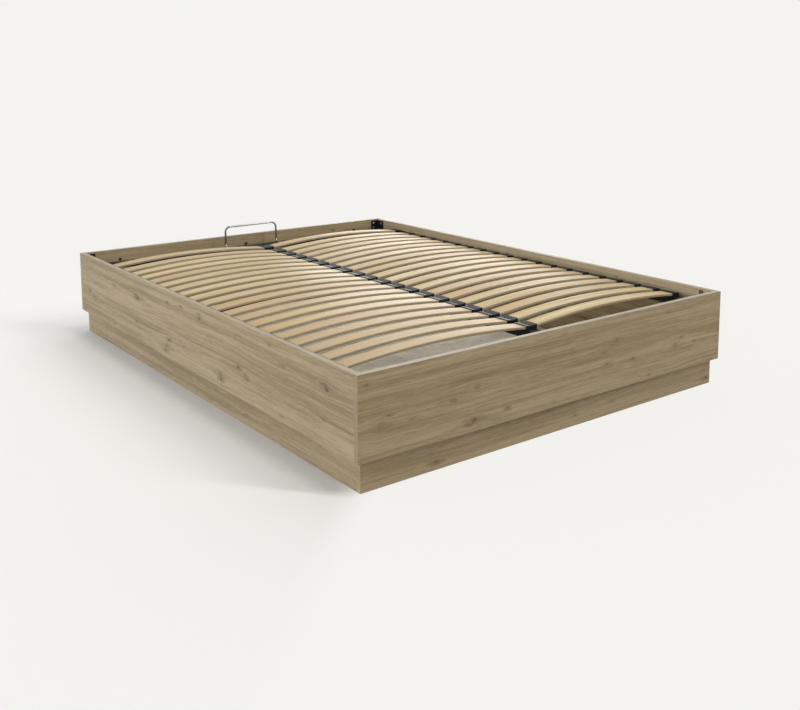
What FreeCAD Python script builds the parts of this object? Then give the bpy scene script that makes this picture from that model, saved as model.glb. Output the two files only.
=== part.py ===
import FreeCAD, Part
import math
import os
import re
import Sketcher
from FreeCAD import Placement, Rotation, Vector

# Ottoman bed: a boarded box on a recessed plinth, closed by a sprung slat frame.
# The frame tips up about a pivot near the head panel and is lifted by two gas springs.
# Millimetres; origin on the floor under the middle; +X across, +Y to the head, +Z up.

doc = FreeCAD.newDocument("OttomanBed")
sheet = doc.addObject("Spreadsheet::Sheet", "Sizes")

# Driving sizes: alias, value, what it is
DRIVING_SIZES = (
    ("mattress_width", 1400, "mattress that lies inside the rim"),
    ("mattress_length", 1900, "mattress that lies inside the rim"),
    ("mattress_play", 5, "room between mattress and board, each side"),
    ("board_thickness", 18, "panels and plinth boards"),
    ("edge_band", 1, "band glued on the show edges of the panels"),
    ("rim_height", 312, "floor to the top of the rim"),
    ("plinth_reveal", 84, "plinth that shows under the panels"),
    ("plinth_overlap", 20, "plinth that stands up behind the panels"),
    ("batten_height", 16, "battens under the storage floor"),
    ("side_batten_width", 40, "battens along the side plinths"),
    ("center_batten_width", 80, "batten under the joint of the floor boards"),
    ("floor_thickness", 8, "storage floor boards"),
    ("floor_play", 1, "room around each floor board"),
    ("cam_setback", 46, "cam centre from the foot panel"),
    ("cam_top_drop", 13, "upper cam centre below the rim"),
    ("cam_low_rise", 66, "lower cam centre above the panel's lower edge"),
    ("cam_diameter", 15, "cam lock"),
    ("cam_depth", 13.5, "cam lock"),
    ("cam_play", 0.2, "room around a cam lock and its bolt"),
    ("cam_bolt_diameter", 7, "bolt drawn in by the cam"),
    ("cam_bolt_depth", 11, "bolt end in the foot panel"),
    ("cam_cap_diameter", 17, "cover cap over a cam"),
    ("cam_cap_height", 1.6, "cover cap over a cam"),
    ("headboard_inset", 137, "head corner to the outer headboard hole"),
    ("headboard_hole_drop", 41, "headboard holes below the rim"),
    ("bush_flange_diameter", 12, "bush in a headboard hole"),
    ("bush_flange_height", 2, "bush in a headboard hole"),
    ("bush_diameter", 9, "bush in a headboard hole"),
    ("bush_bore", 6.4, "way through a headboard bush"),
    ("bush_play", 0.1, "room between bush and panel"),
    ("bracket_rise", 12, "bracket above the plinth"),
    ("bracket_drop", 6, "bracket top below the rim"),
    ("bracket_head_flange", 36, "bracket along the head panel"),
    ("bracket_side_flange", 50, "bracket along the side panel"),
    ("bracket_thickness", 2.5, "bracket steel"),
    ("bracket_screw_drop", 12, "bracket top to its first screws"),
    ("bracket_screw_step", 22, "first to second screw on the head panel"),
    ("bracket_screw_rise", 24, "bracket's lower edge to its last screws"),
    ("screw_head_diameter", 8, "pan-head screws of brackets, plates and rests"),
    ("screw_head_height", 2.6, "pan-head screws"),
    ("screw_diameter", 4, "pan-head screws"),
    ("screw_length", 14, "under the head"),
    ("screw_hole_play", 0.3, "room around a screw in its steel hole"),
    ("frame_side_gap", 11, "side panel to side rail"),
    ("frame_end_gap", 35, "end panel to the end of the rails"),
    ("frame_drop", 65, "underside of the steel tubes below the rim"),
    ("tube_height", 25, "all steel tubes"),
    ("tube_wall", 1.5, "all steel tubes"),
    ("tube_corner", 1.8, "flat on the outer corners of the tubes"),
    ("rail_width", 30, "side rails"),
    ("spine_width", 40, "center spine"),
    ("cross_tube_width", 25, "cross tubes"),
    ("retainer_tube_spacing", 199, "head cross tube to the next, on centers"),
    ("plug_flange", 2.5, "end plug of a rail"),
    ("plug_spigot", 12, "end plug inside the rail"),
    ("plug_play", 0.2, "room around the spigot"),
    ("slat_pitch", 81.8, "row to row"),
    ("slat_head_setback", 203, "head panel to the first row at an even pitch"),
    ("first_slat_lead", 22, "first row ahead of the even pitch, which bares the retainer's tube"),
    ("slat_foot_setback", 100, "foot panel to the last row, at least"),
    ("slat_width", 50, "along the bed"),
    ("slat_thickness", 8, "bent lamination"),
    ("slat_crown", 21, "rise of the bow over its ends"),
    ("slat_play", 0.2, "room around a slat in its cap"),
    ("slat_end_play", 0.8, "room behind the end of a slat"),
    ("cap_seat", 2, "cap floor under a slat end"),
    ("cap_roof", 2.6, "cap over a slat end"),
    ("cap_cheek", 1.6, "cap beside a slat"),
    ("cap_end_wall", 3.2, "cap behind a slat end"),
    ("side_cap_mouth", 29, "slat end inside a side cap"),
    ("spine_cap_mouth", 20, "slat end inside a spine cap"),
    ("mouth_overrun", 1, "the mouth's core beyond the cap"),
    ("cap_groove_width", 3, "groove along the middle of a spine cap"),
    ("cap_groove_depth", 1.4, "groove along the middle of a spine cap"),
    ("pivot_tube_gap", 19, "face of the retainer's tube to the lift pivot"),
    ("pivot_diameter", 10, "lift pivot pin"),
    ("pin_proud", 1, "end of the pin beyond its nut"),
    ("pivot_play", 0.05, "running clearance of pins, radial"),
    ("pivot_bush_diameter", 14, "sleeve through the rail"),
    ("pivot_spacer_diameter", 24, "washer between plate and rail"),
    ("pivot_spacer_play", 0.2, "each face of the washer"),
    ("nut_width", 17, "lock nut across its flats"),
    ("nut_height", 7, "lock nut"),
    ("nut_play", 0.3, "lock nut to rail"),
    ("hinge_plate_thickness", 3, "plate on the side panel"),
    ("hinge_plate_reach", 32, "plate beyond the pivot towards the head"),
    ("hinge_plate_rise", 22, "plate above the pivot"),
    ("hinge_plate_foot", 19, "plate below the gas spring stud"),
    ("hinge_plate_clear", 3, "plate above the plinth"),
    ("hinge_plate_corner", 6, "flat on the corners of the plate"),
    ("hinge_plate_lead", 24, "plate beyond the stud towards the foot"),
    ("hinge_plate_shoulder", 40, "plate above the stud at its foot edge"),
    ("plate_screw_edge", 14, "screws in from the plate's head edge"),
    ("plate_screw_drop", 40, "upper screw below the pivot"),
    ("plate_screw_lead", 8, "foot screw beyond the stud"),
    ("plate_screw_rise", 26, "foot screw above the stud"),
    ("strut_base_setback", 77, "pivot to the lower stud, towards the foot"),
    ("strut_top_setback", 307, "pivot to the upper stud, towards the foot"),
    ("strut_top_drop", 19, "upper stud below the rail"),
    ("strut_inset", 18, "rail's outer face to the middle of the gas spring"),
    ("strut_eye_diameter", 20, "eyes of the gas spring"),
    ("strut_eye_width", 12, "eyes of the gas spring"),
    ("strut_stud_diameter", 8, "studs of the gas spring"),
    ("strut_stud_gap", 0.4, "upper stud to the tab"),
    ("stud_collar_diameter", 14, "lower stud between plate and eye"),
    ("stud_head_diameter", 13, "lower stud beyond the eye"),
    ("stud_head_height", 3, "lower stud beyond the eye"),
    ("stud_play", 0.3, "lower eye between collar and head"),
    ("eye_sink", 1, "neck and rod run into their eyes"),
    ("cylinder_diameter", 22, "gas spring"),
    ("cylinder_wall", 1.5, "gas spring"),
    ("cylinder_length", 190, "gas spring"),
    ("cylinder_neck", 14, "lower stud to the bottom of the cylinder"),
    ("neck_diameter", 9.6, "between lower eye and cylinder"),
    ("gland_length", 10, "rod guide at the mouth of the cylinder"),
    ("rod_diameter", 10, "gas spring"),
    ("rod_play", 0.1, "rod in its guide, radial"),
    ("piston_length", 10, "gas spring"),
    ("piston_play", 0.2, "piston in the cylinder, radial"),
    ("tab_thickness", 4, "tab that carries the upper stud"),
    ("tab_length", 56, "tab along the rail"),
    ("tab_edge", 13, "tab around the stud"),
    ("tab_corner", 6, "flat on the corners under the stud"),
    ("tab_nut_diameter", 13, "nut behind the tab"),
    ("tab_nut_height", 4, "nut behind the tab"),
    ("rest_cap_clear", 1.5, "cam cover cap to the frame rest"),
    ("rest_length", 50, "frame rest along the side panel"),
    ("rest_flange", 60, "frame rest on the side panel"),
    ("rest_thickness", 3, "frame rest steel"),
    ("pad_height", 3.7, "rubber pad on a rest"),
    ("pad_gap", 0.3, "pad to rail"),
    ("pad_margin", 4, "rest beyond the pad"),
    ("retainer_rise", 54, "top of the mattress retainer above the rim"),
    ("retainer_span", 244, "leg to leg, on centers"),
    ("retainer_rod", 8, "diameter of the bent rod"),
    ("retainer_corner", 22, "bend at the top corners"),
    ("retainer_foot_bend", 16, "bend at the foot of each leg"),
    ("retainer_tail", 10, "rod beyond the middle of its tube"),
    ("clamp_width", 30, "saddle clamp across the rod"),
    ("clamp_length", 14, "saddle clamp along the rod"),
    ("clamp_steel", 2, "saddle clamp"),
    ("clamp_play", 0.2, "rod in the clamp"),
)

# Sizes that follow from the driving ones
DERIVED_SIZES = (
    ("inner_width", "mattress_width + 2 * mattress_play"),
    ("inner_length", "mattress_length + 2 * mattress_play"),
    ("outer_width", "inner_width + 2 * board_thickness"),
    ("outer_length", "inner_length + 2 * board_thickness"),
    ("panel_height", "rim_height - plinth_reveal - edge_band"),
    ("end_panel_width", "outer_width - 2 * edge_band"),
    ("plinth_height", "plinth_reveal + plinth_overlap"),
    ("plinth_inner_width", "inner_width - 2 * board_thickness"),
    ("plinth_inner_length", "inner_length - 2 * board_thickness"),
    ("bracket_height", "rim_height - bracket_drop - plinth_height - bracket_rise"),
    ("headboard_span", "inner_width - 2 * headboard_inset"),
    ("headboard_hole_height", "rim_height - headboard_hole_drop"),
    ("cam_top_height", "rim_height - cam_top_drop"),
    ("cam_low_height", "plinth_reveal + cam_low_rise"),
    ("cam_y", "cam_setback - inner_length / 2"),
    ("cam_bolt_x", "inner_width / 2 + board_thickness / 2"),
    ("frame_underside", "rim_height - frame_drop"),
    ("tube_top", "frame_underside + tube_height"),
    ("rail_length", "inner_length - 2 * frame_end_gap"),
    ("rail_outer", "inner_width / 2 - frame_side_gap"),
    ("rail_inner", "rail_outer - rail_width"),
    ("rail_center", "rail_outer - rail_width / 2"),
    ("end_tube_y", "rail_length / 2 - cross_tube_width / 2"),
    ("retainer_tube_y", "end_tube_y - retainer_tube_spacing"),
    ("spine_length", "2 * end_tube_y - cross_tube_width"),
    ("half_tube_length", "rail_inner - spine_width / 2"),
    ("slat_rows", "floor((inner_length - slat_head_setback - slat_foot_setback) / slat_pitch) + 1"),
    ("slat_inner_end", "cap_end_wall / 2 + slat_end_play"),
    ("slat_outer_end", "rail_outer - cap_end_wall - slat_end_play"),
    ("half_chord", "(slat_outer_end - slat_inner_end) / 2"),
    ("bow_radius", "(half_chord ^ 2 + slat_crown ^ 2) / (2 * slat_crown)"),
    ("slat_middle", "(slat_outer_end + slat_inner_end) / 2"),
    ("slat_end_height", "tube_top + cap_seat + slat_play"),
    ("side_slope", "(2 * half_chord - side_cap_mouth) / (2 * bow_radius)"),
    ("spine_slope", "(2 * half_chord - spine_cap_mouth) / (2 * bow_radius)"),
    ("cap_length", "slat_width + 2 * (slat_play + cap_cheek)"),
    ("mouth_height", "slat_thickness + 2 * slat_play"),
    ("pivot_y", "retainer_tube_y + cross_tube_width / 2 + pivot_tube_gap"),
    ("pivot_z", "frame_underside + tube_height / 2"),
    ("plate_face", "inner_width / 2 - hinge_plate_thickness"),
    ("strut_x", "rail_outer - strut_inset"),
    ("strut_base_y", "pivot_y - strut_base_setback"),
    ("strut_base_height", "plinth_height + hinge_plate_clear + hinge_plate_foot"),
    ("strut_top_y", "pivot_y - strut_top_setback"),
    ("strut_top_z", "frame_underside - strut_top_drop"),
    ("cylinder_top", "cylinder_neck + cylinder_length"),
    ("stud_reach", "strut_eye_width / 2 + strut_stud_diameter / 2"),
    ("rest_setback", "cam_setback + cam_cap_diameter / 2 + rest_cap_clear"),
    ("rest_y", "rest_setback - inner_length / 2"),
    ("shelf_top", "frame_underside - pad_gap - pad_height"),
    ("retainer_top", "rim_height + retainer_rise"),
    ("retainer_run_z", "tube_top + retainer_rod / 2"),
)
ALIASES = {row[0] for row in DRIVING_SIZES + DERIVED_SIZES}


def fill_sheet():
    for line, (alias, value, meaning) in enumerate(DRIVING_SIZES, start=1):
        sheet.set(f"A{line}", meaning)
        sheet.set(f"B{line}", str(value))
        sheet.setAlias(f"B{line}", alias)
    for line, (alias, formula) in enumerate(DERIVED_SIZES, start=1):
        sheet.set(f"D{line}", f"={formula}")
        sheet.setAlias(f"D{line}", alias)
    doc.recompute()


fill_sheet()
size = {alias: float(sheet.get(alias)) for alias in ALIASES}


def bound(formula):
    """The formula with every size alias pointed at the sheet."""

    def pointed(word):
        return f"Sizes.{word[0]}" if word[0] in ALIASES else word[0]

    return re.sub(r"[a-z]\w*", pointed, formula)


def bind(item, **formulas):
    """Bind properties to formulas of the sheet; x, y and z are the place."""
    for name, formula in formulas.items():
        path = f".Placement.Base.{name}" if name in "xyz" else name
        item.setExpression(path, bound(formula))
    return item


# Helpers for boards and drilled boards


def board(label, length, width, height, x, y, z):
    """A square board from its low corner."""
    blank = doc.addObject("Part::Box", label)
    return bind(blank, Length=length, Width=width, Height=height, x=x, y=y, z=z)


# Small round pieces and their holes are drawn with flat sides, to keep the model light
NUT_SIDES = 6
SMALL_SIDES = 8
ROUND_SIDES = 12


def corner_reach(width, sides):
    """Middle to corner of a regular outline whose flats are a width apart."""
    return f"({width}) / 2 / cos({180 / sides})"


def drill(label, diameter, depth, direction, x, y, z):
    """A hole's core with the diameter between its flats, from its mouth along a direction."""
    core = doc.addObject("Part::Prism", label)
    core.Polygon = SMALL_SIDES
    core.Placement = Placement(Vector(), Rotation(Vector(0, 0, 1), direction))
    return bind(core, Circumradius=corner_reach(diameter, SMALL_SIDES), Height=depth, x=x, y=y, z=z)


def peg(label, sides, steps):
    """Prisms stacked along Z; each step is its diameter over corners, its start and its end."""
    prisms = []
    for diameter, low, high in steps:
        prism = doc.addObject("Part::Prism", f"{label}_step")
        prism.Polygon = sides
        prisms.append(bind(prism, Circumradius=f"({diameter}) / 2", Height=f"{high} - ({low})", z=low))
    if len(prisms) == 1:
        doc.recompute()
        return prisms[0]
    whole = doc.addObject("Part::MultiFuse", label)
    whole.Shapes = prisms
    doc.recompute()
    return whole


def drilled(label, blank, cores):
    """A board with holes."""
    blank.Label = f"{label}_blank"
    tools = doc.addObject("Part::Compound", f"{label}_holes")
    tools.Links = cores
    cut = doc.addObject("Part::Cut", label)
    cut.Label = label
    cut.Base = blank
    cut.Tool = tools
    return cut


# Helpers for bodies made from sketches


def new_body(label):
    return doc.addObject("PartDesign::Body", label)


def new_sketch(body, plane, name):
    sketch = body.newObject("Sketcher::SketchObject", f"{body.Label}_{name}")
    support = next(item for item in body.Origin.OriginFeatures if item.Role == plane)
    sketch.AttachmentSupport = [(support, "")]
    sketch.MapMode = "FlatFace"
    return sketch


# A spare box whose height works formulas out; the lift keeps it positive
PROBE_LIFT = 100000
probe = doc.addObject("Part::Box", "formula_probe")


def number(formula):
    """The present value of a formula of the sheet."""
    probe.setExpression("Height", bound(f"({formula}) + {PROBE_LIFT}"))
    probe.recompute()
    return float(probe.Height) - PROBE_LIFT


def fix_point(sketch, geometry, end, across, up):
    """Bind a sketch point to two formulas measured from the sketch's origin."""
    for kind, formula in (("DistanceX", across), ("DistanceY", up)):
        row = sketch.addConstraint(Sketcher.Constraint(kind, -1, 1, geometry, end, number(formula)))
        sketch.setExpression(f"Constraints[{row}]", bound(formula))


def outline(sketch, corners):
    """A closed outline of straight lines through corners given by formulas."""
    spots = [Vector(number(across), number(up), 0) for across, up in corners]
    lines = []
    for start, stop in zip(spots, spots[1:] + spots[:1]):
        lines.append(sketch.addGeometry(Part.LineSegment(start, stop)))
    for line, following in zip(lines, lines[1:] + lines[:1]):
        sketch.addConstraint(Sketcher.Constraint("Coincident", line, 2, following, 1))
    for line, (across, up) in zip(lines, corners):
        fix_point(sketch, line, 1, across, up)


def rectangle(sketch, left, low, right, high):
    outline(sketch, [(left, low), (right, low), (right, high), (left, high)])


def many_sided(sketch, across, up, width, sides):
    """A regular outline round a middle, with its flats a width apart."""
    reach = corner_reach(width, sides)
    angles = [(place + 0.5) * 360 / sides for place in range(sides)]
    outline(sketch, [(f"{across} + {reach} * cos({angle})", f"{up} + {reach} * sin({angle})")
                     for angle in angles])


def pad(body, sketch, length, symmetric=True, reverse=False):
    feature = body.newObject("PartDesign::Pad", f"{sketch.Label}_pad")
    feature.Profile = sketch
    feature.SideType = "Symmetric" if symmetric else "One side"
    feature.Reversed = reverse
    sketch.Visibility = False
    return bind(feature, Length=length)


def pocket(body, sketch, length):
    """Cut a sketch to both sides of its plane, and see that it cut something."""
    doc.recompute()
    before = body.Shape.Volume
    feature = body.newObject("PartDesign::Pocket", f"{sketch.Label}_pocket")
    feature.Profile = sketch
    feature.SideType = "Symmetric"
    bind(feature, Length=length)
    doc.recompute()
    if body.Shape.Volume >= before:
        raise ValueError(f"{sketch.Label} cuts nothing")
    return feature


def stem(body, kind, diameter, low, high):
    """Add or cut a prism along Z between two heights; the diameter is over its corners."""
    prism = body.newObject(f"PartDesign::{kind}Prism", f"{body.Label}_stem")
    prism.Polygon = ROUND_SIDES
    return bind(prism, Circumradius=f"({diameter}) / 2", Height=f"{high} - ({low})", z=low)


def chamfer_edges(body, feature, wanted, flat):
    """Chamfer the edges that a test picks by their direction and middle."""
    doc.recompute()
    names = []
    for place, edge in enumerate(feature.Shape.Edges, start=1):
        middle = edge.CenterOfMass
        along = edge.Vertexes[-1].Point - edge.Vertexes[0].Point
        if wanted(along, middle):
            names.append(f"Edge{place}")
    chamfer = body.newObject("PartDesign::Chamfer", f"{body.Label}_chamfer")
    chamfer.Base = (feature, names)
    return bind(chamfer, Size=flat)


# Helpers for groups of alike pieces


def moved(shape, x, y, z, turn=None):
    return shape.transformed(Placement(Vector(x, y, z), turn or Rotation()).toMatrix(), True)


def gather(label, shapes):
    """One sub-part made of separate alike solids."""
    group = doc.addObject("Part::Feature", label)
    group.Shape = Part.makeCompound([solid for shape in shapes for solid in shape.Solids])
    return group


def both_sides(shape):
    """A piece on the right and its mirror image on the left."""
    return [shape, shape.mirror(Vector(), Vector(1, 0, 0))]


X_WAY = Vector(1, 0, 0)
Y_WAY = Vector(0, 1, 0)
Z_WAY = Vector(0, 0, 1)
Z_TO_X = Rotation(Z_WAY, X_WAY)
Z_TO_Y = Rotation(Z_WAY, Y_WAY)
INWARD = Rotation(Z_WAY, -X_WAY)
TOWARDS_FOOT = Rotation(Z_WAY, -Y_WAY)
HALF_TURN = Rotation(Z_WAY, 180)
EDGE_TOLERANCE = 0.01
parts = []


def keep(*items):
    parts.extend(items)


# Panels with their edge bands


def cam_heights():
    return ("cam_top_height", "cam_low_height")


def side_panel(label, side):
    """A side panel, bored at the foot end for cam locks and their bolts; side is -1 or 1."""
    low_x = "inner_width / 2" if side > 0 else "-outer_width / 2"
    blank = board(label, "board_thickness", "inner_length", "panel_height",
                  low_x, "-inner_length / 2", "plinth_reveal")
    cores = []
    for height in cam_heights():
        cores.append(drill(f"{label}_cam_bore", "cam_diameter + 2 * cam_play", "cam_depth + cam_play",
                           X_WAY * side, f"{side} * inner_width / 2", "cam_y", height))
        cores.append(drill(f"{label}_bolt_bore", "cam_bolt_diameter + 2 * cam_play", "cam_setback",
                           Y_WAY, f"{side} * cam_bolt_x", "-inner_length / 2", height))
    return drilled(label, blank, cores)


def foot_panel():
    """The foot panel, bored from inside for the cam bolts."""
    blank = board("foot_panel", "end_panel_width", "board_thickness", "panel_height",
                  "-end_panel_width / 2", "-outer_length / 2", "plinth_reveal")
    cores = []
    for side in (-1, 1):
        for height in cam_heights():
            cores.append(drill("foot_bolt_bore", "cam_bolt_diameter + 2 * cam_play",
                               "cam_bolt_depth + cam_play", -Y_WAY,
                               f"{side} * cam_bolt_x", "-inner_length / 2", height))
    return drilled("foot_panel", blank, cores)


def head_panel():
    """The head panel with three holes for a headboard."""
    blank = board("head_panel", "end_panel_width", "board_thickness", "panel_height",
                  "-end_panel_width / 2", "inner_length / 2", "plinth_reveal")
    cores = []
    for place in (-1, 0, 1):
        cores.append(drill("headboard_hole", "bush_diameter + 2 * bush_play", "board_thickness",
                           Y_WAY, f"{place} * headboard_span / 2", "inner_length / 2",
                           "headboard_hole_height"))
    return drilled("head_panel", blank, cores)


def edge_bands():
    """Bands on the four top edges and on the ends of the foot and head panels."""
    bands = []
    for side in (-1, 1):
        bands.append(board("side_band", "board_thickness", "inner_length", "edge_band",
                           f"{side} * (outer_width - board_thickness) / 2 - board_thickness / 2",
                           "-inner_length / 2", "rim_height - edge_band"))
        end_y = f"{side} * (outer_length - board_thickness) / 2 - board_thickness / 2"
        bands.append(board("end_band", "end_panel_width", "board_thickness", "edge_band",
                           "-end_panel_width / 2", end_y, "rim_height - edge_band"))
        for corner in (-1, 1):
            end_x = f"{corner} * (outer_width - edge_band) / 2 - edge_band / 2"
            bands.append(board("corner_band", "edge_band", "board_thickness", "rim_height - plinth_reveal",
                               end_x, end_y, "plinth_reveal"))
    compound = doc.addObject("Part::Compound", "edge_bands")
    compound.Links = bands
    return compound


keep(side_panel("left_side_panel", -1), side_panel("right_side_panel", 1))
keep(foot_panel(), head_panel(), edge_bands())

# Plinth and storage floor


def plinth_board(label, side):
    low_x = "inner_width / 2 - board_thickness" if side > 0 else "-inner_width / 2"
    return board(label, "board_thickness", "plinth_inner_length", "plinth_height",
                 low_x, "-plinth_inner_length / 2", "0")


def plinth_end(label, side):
    low_y = "inner_length / 2 - board_thickness" if side > 0 else "-inner_length / 2"
    return board(label, "inner_width", "board_thickness", "plinth_height", "-inner_width / 2", low_y, "0")


def floor_board(label, side):
    low_x = "floor_play / 2" if side > 0 else "floor_play / 2 - plinth_inner_width / 2"
    return board(label, "plinth_inner_width / 2 - floor_play", "plinth_inner_length - floor_play",
                 "floor_thickness", low_x, "-(plinth_inner_length - floor_play) / 2", "batten_height")


def side_floor_battens():
    battens = []
    for low_x in ("-plinth_inner_width / 2", "plinth_inner_width / 2 - side_batten_width"):
        battens.append(board("side_batten", "side_batten_width", "plinth_inner_length", "batten_height",
                             low_x, "-plinth_inner_length / 2", "0"))
    compound = doc.addObject("Part::Compound", "side_floor_battens")
    compound.Links = battens
    return compound


keep(plinth_board("left_plinth_board", -1), plinth_board("right_plinth_board", 1))
keep(plinth_end("foot_plinth_board", -1), plinth_end("head_plinth_board", 1))
keep(board("center_floor_batten", "center_batten_width", "plinth_inner_length", "batten_height",
           "-center_batten_width / 2", "-plinth_inner_length / 2", "0"))
keep(side_floor_battens(), floor_board("left_floor_board", -1), floor_board("right_floor_board", 1))

# Cam fittings at the foot corners


def cam_fittings():
    cap = peg("cam_cap_master", ROUND_SIDES, [("cam_cap_diameter", "0", "cam_cap_height")])
    lock = peg("cam_lock_master", SMALL_SIDES, [("cam_diameter", "0", "cam_depth")])
    bolt_length = "cam_bolt_depth + cam_setback - cam_diameter / 2 - cam_play"
    bolt_head = f"{bolt_length} - cam_bolt_depth / 2"
    bolt = peg("cam_bolt_master", SMALL_SIDES, [
        ("cam_bolt_diameter", "0", "cam_bolt_depth"),
        ("cam_bolt_diameter * 2 / 3", "cam_bolt_depth", bolt_head),
        ("cam_bolt_diameter", bolt_head, bolt_length)])
    face = size["inner_width"] / 2
    bolt_start = -size["inner_length"] / 2 - size["cam_bolt_depth"]
    caps, locks, bolts = [], [], []
    for height in cam_heights():
        caps += both_sides(moved(cap.Shape, face, size["cam_y"], size[height], INWARD))
        locks += both_sides(moved(lock.Shape, face, size["cam_y"], size[height], Z_TO_X))
        bolts += both_sides(moved(bolt.Shape, size["cam_bolt_x"], bolt_start, size[height], Z_TO_Y))
    return gather("cam_cover_caps", caps), gather("cam_locks", locks), gather("cam_bolts", bolts)


keep(*cam_fittings())

# Headboard bushes, head corner brackets and their screws


def headboard_bushes():
    bush_length = "board_thickness + bush_flange_height"
    blank = peg("bush_blank", SMALL_SIDES, [
        ("bush_diameter", "0", "board_thickness"), ("bush_flange_diameter", "board_thickness", bush_length)])
    bore = doc.addObject("Part::Cylinder", "bush_bore_core")
    bind(bore, Radius="bush_bore / 2", Height=bush_length)
    bush = doc.addObject("Part::Cut", "bush_master")
    bush.Base = blank
    bush.Tool = bore
    doc.recompute()
    outside = size["outer_length"] / 2
    return gather("headboard_bushes", [
        moved(bush.Shape, place * size["headboard_span"] / 2, outside, size["headboard_hole_height"],
              TOWARDS_FOOT)
        for place in (-1, 0, 1)])


def pan_screw():
    """A pan-head screw with its seat at the origin and its shank downwards."""
    return peg("screw_master", SMALL_SIDES, [
        ("screw_diameter", "-screw_length", "0"), ("screw_head_diameter", "0", "screw_head_height")])


screw = pan_screw()
SCREW_HOLE = "screw_diameter + 2 * screw_hole_play"
# Screws of a head bracket, by their height above its lower edge
TOP_BRACKET_SCREW = "bracket_height - bracket_screw_drop"
HEAD_FLANGE_SCREWS = (TOP_BRACKET_SCREW, f"{TOP_BRACKET_SCREW} - bracket_screw_step", "bracket_screw_rise")
SIDE_FLANGE_SCREWS = (TOP_BRACKET_SCREW, "bracket_screw_rise")
HEAD_SCREW_X = "bracket_head_flange * 2 / 3"
SIDE_SCREW_Y = "bracket_side_flange * 2 / 3"


def head_corner_brackets():
    """Angle brackets in the head corners; drawn for the left corner, then mirrored."""
    body = new_body("head_bracket_master")
    section = new_sketch(body, "XY_Plane", "section")
    outline(section, [
        ("0", "0"), ("0", "-bracket_side_flange"), ("bracket_thickness", "-bracket_side_flange"),
        ("bracket_thickness", "-bracket_thickness"), ("bracket_head_flange", "-bracket_thickness"),
        ("bracket_head_flange", "0")])
    pad(body, section, "bracket_height", symmetric=False)
    head_holes = new_sketch(body, "XZ_Plane", "head_holes")
    for height in HEAD_FLANGE_SCREWS:
        many_sided(head_holes, HEAD_SCREW_X, height, SCREW_HOLE, SMALL_SIDES)
    pocket(body, head_holes, "4 * bracket_thickness")
    side_holes = new_sketch(body, "YZ_Plane", "side_holes")
    for height in SIDE_FLANGE_SCREWS:
        many_sided(side_holes, f"-{SIDE_SCREW_Y}", height, SCREW_HOLE, SMALL_SIDES)
    pocket(body, side_holes, "4 * bracket_thickness")
    low = size["rim_height"] - size["bracket_drop"] - size["bracket_height"]
    corner = (-size["inner_width"] / 2, size["inner_length"] / 2, low)
    heads = []
    for height in HEAD_FLANGE_SCREWS:
        heads.append(moved(screw.Shape, number(HEAD_SCREW_X), -size["bracket_thickness"], number(height),
                           TOWARDS_FOOT))
    for height in SIDE_FLANGE_SCREWS:
        heads.append(moved(screw.Shape, size["bracket_thickness"], -number(SIDE_SCREW_Y), number(height),
                           Z_TO_X))
    brackets = both_sides(moved(body.Shape, *corner))
    screws = [copy for head in heads for copy in both_sides(moved(head, *corner))]
    return gather("head_corner_brackets", brackets), gather("bracket_screws", screws)


keep(headboard_bushes(), *head_corner_brackets())

# Lift hinge: plate, pivot pin, spacer and lock nut on each side panel


def flat_ring(label, sides, width, bore, height):
    """A nut or ring with flat sides, standing on the origin."""
    body = new_body(label)
    face = new_sketch(body, "XY_Plane", "face")
    many_sided(face, "0", "0", width, sides)
    many_sided(face, "0", "0", bore, SMALL_SIDES if sides == NUT_SIDES else sides)
    pad(body, face, height, symmetric=False)
    doc.recompute()
    return body


# Hinge plate screws, measured from the pivot towards the head and up
PLATE_SCREWS = (
    ("hinge_plate_reach - plate_screw_edge", "-plate_screw_drop"),
    ("hinge_plate_reach - plate_screw_edge", "strut_base_height - pivot_z"),
    ("-strut_base_setback / 2", "strut_base_height - pivot_z"),
    ("-strut_base_setback - plate_screw_lead", "strut_base_height - pivot_z + plate_screw_rise"),
)


def hinge_plates():
    """Plates that carry the pivot and the lower gas spring stud, with their screws."""
    body = new_body("hinge_plate_master")
    face = new_sketch(body, "YZ_Plane", "face")
    low = "strut_base_height - pivot_z - hinge_plate_foot"
    foot_edge = "-strut_base_setback - hinge_plate_lead"
    outline(face, [
        ("hinge_plate_reach", low), ("hinge_plate_reach", "hinge_plate_rise"),
        ("-hinge_plate_reach", "hinge_plate_rise"),
        (foot_edge, "strut_base_height - pivot_z + hinge_plate_shoulder"), (foot_edge, low)])
    blank = pad(body, face, "hinge_plate_thickness", symmetric=False)
    chamfer_edges(body, blank, lambda along, middle: abs(along.x) > EDGE_TOLERANCE, "hinge_plate_corner")
    holes = new_sketch(body, "YZ_Plane", "holes")
    for across, up in PLATE_SCREWS:
        many_sided(holes, across, up, SCREW_HOLE, SMALL_SIDES)
    pocket(body, holes, "4 * hinge_plate_thickness")
    pivot = (size["plate_face"], size["pivot_y"], size["pivot_z"])
    screws = []
    for across, up in PLATE_SCREWS:
        screws += both_sides(moved(moved(screw.Shape, 0, number(across), number(up), INWARD), *pivot))
    plates = both_sides(moved(body.Shape, *pivot))
    return gather("hinge_plates", plates), gather("hinge_plate_screws", screws)


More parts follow.
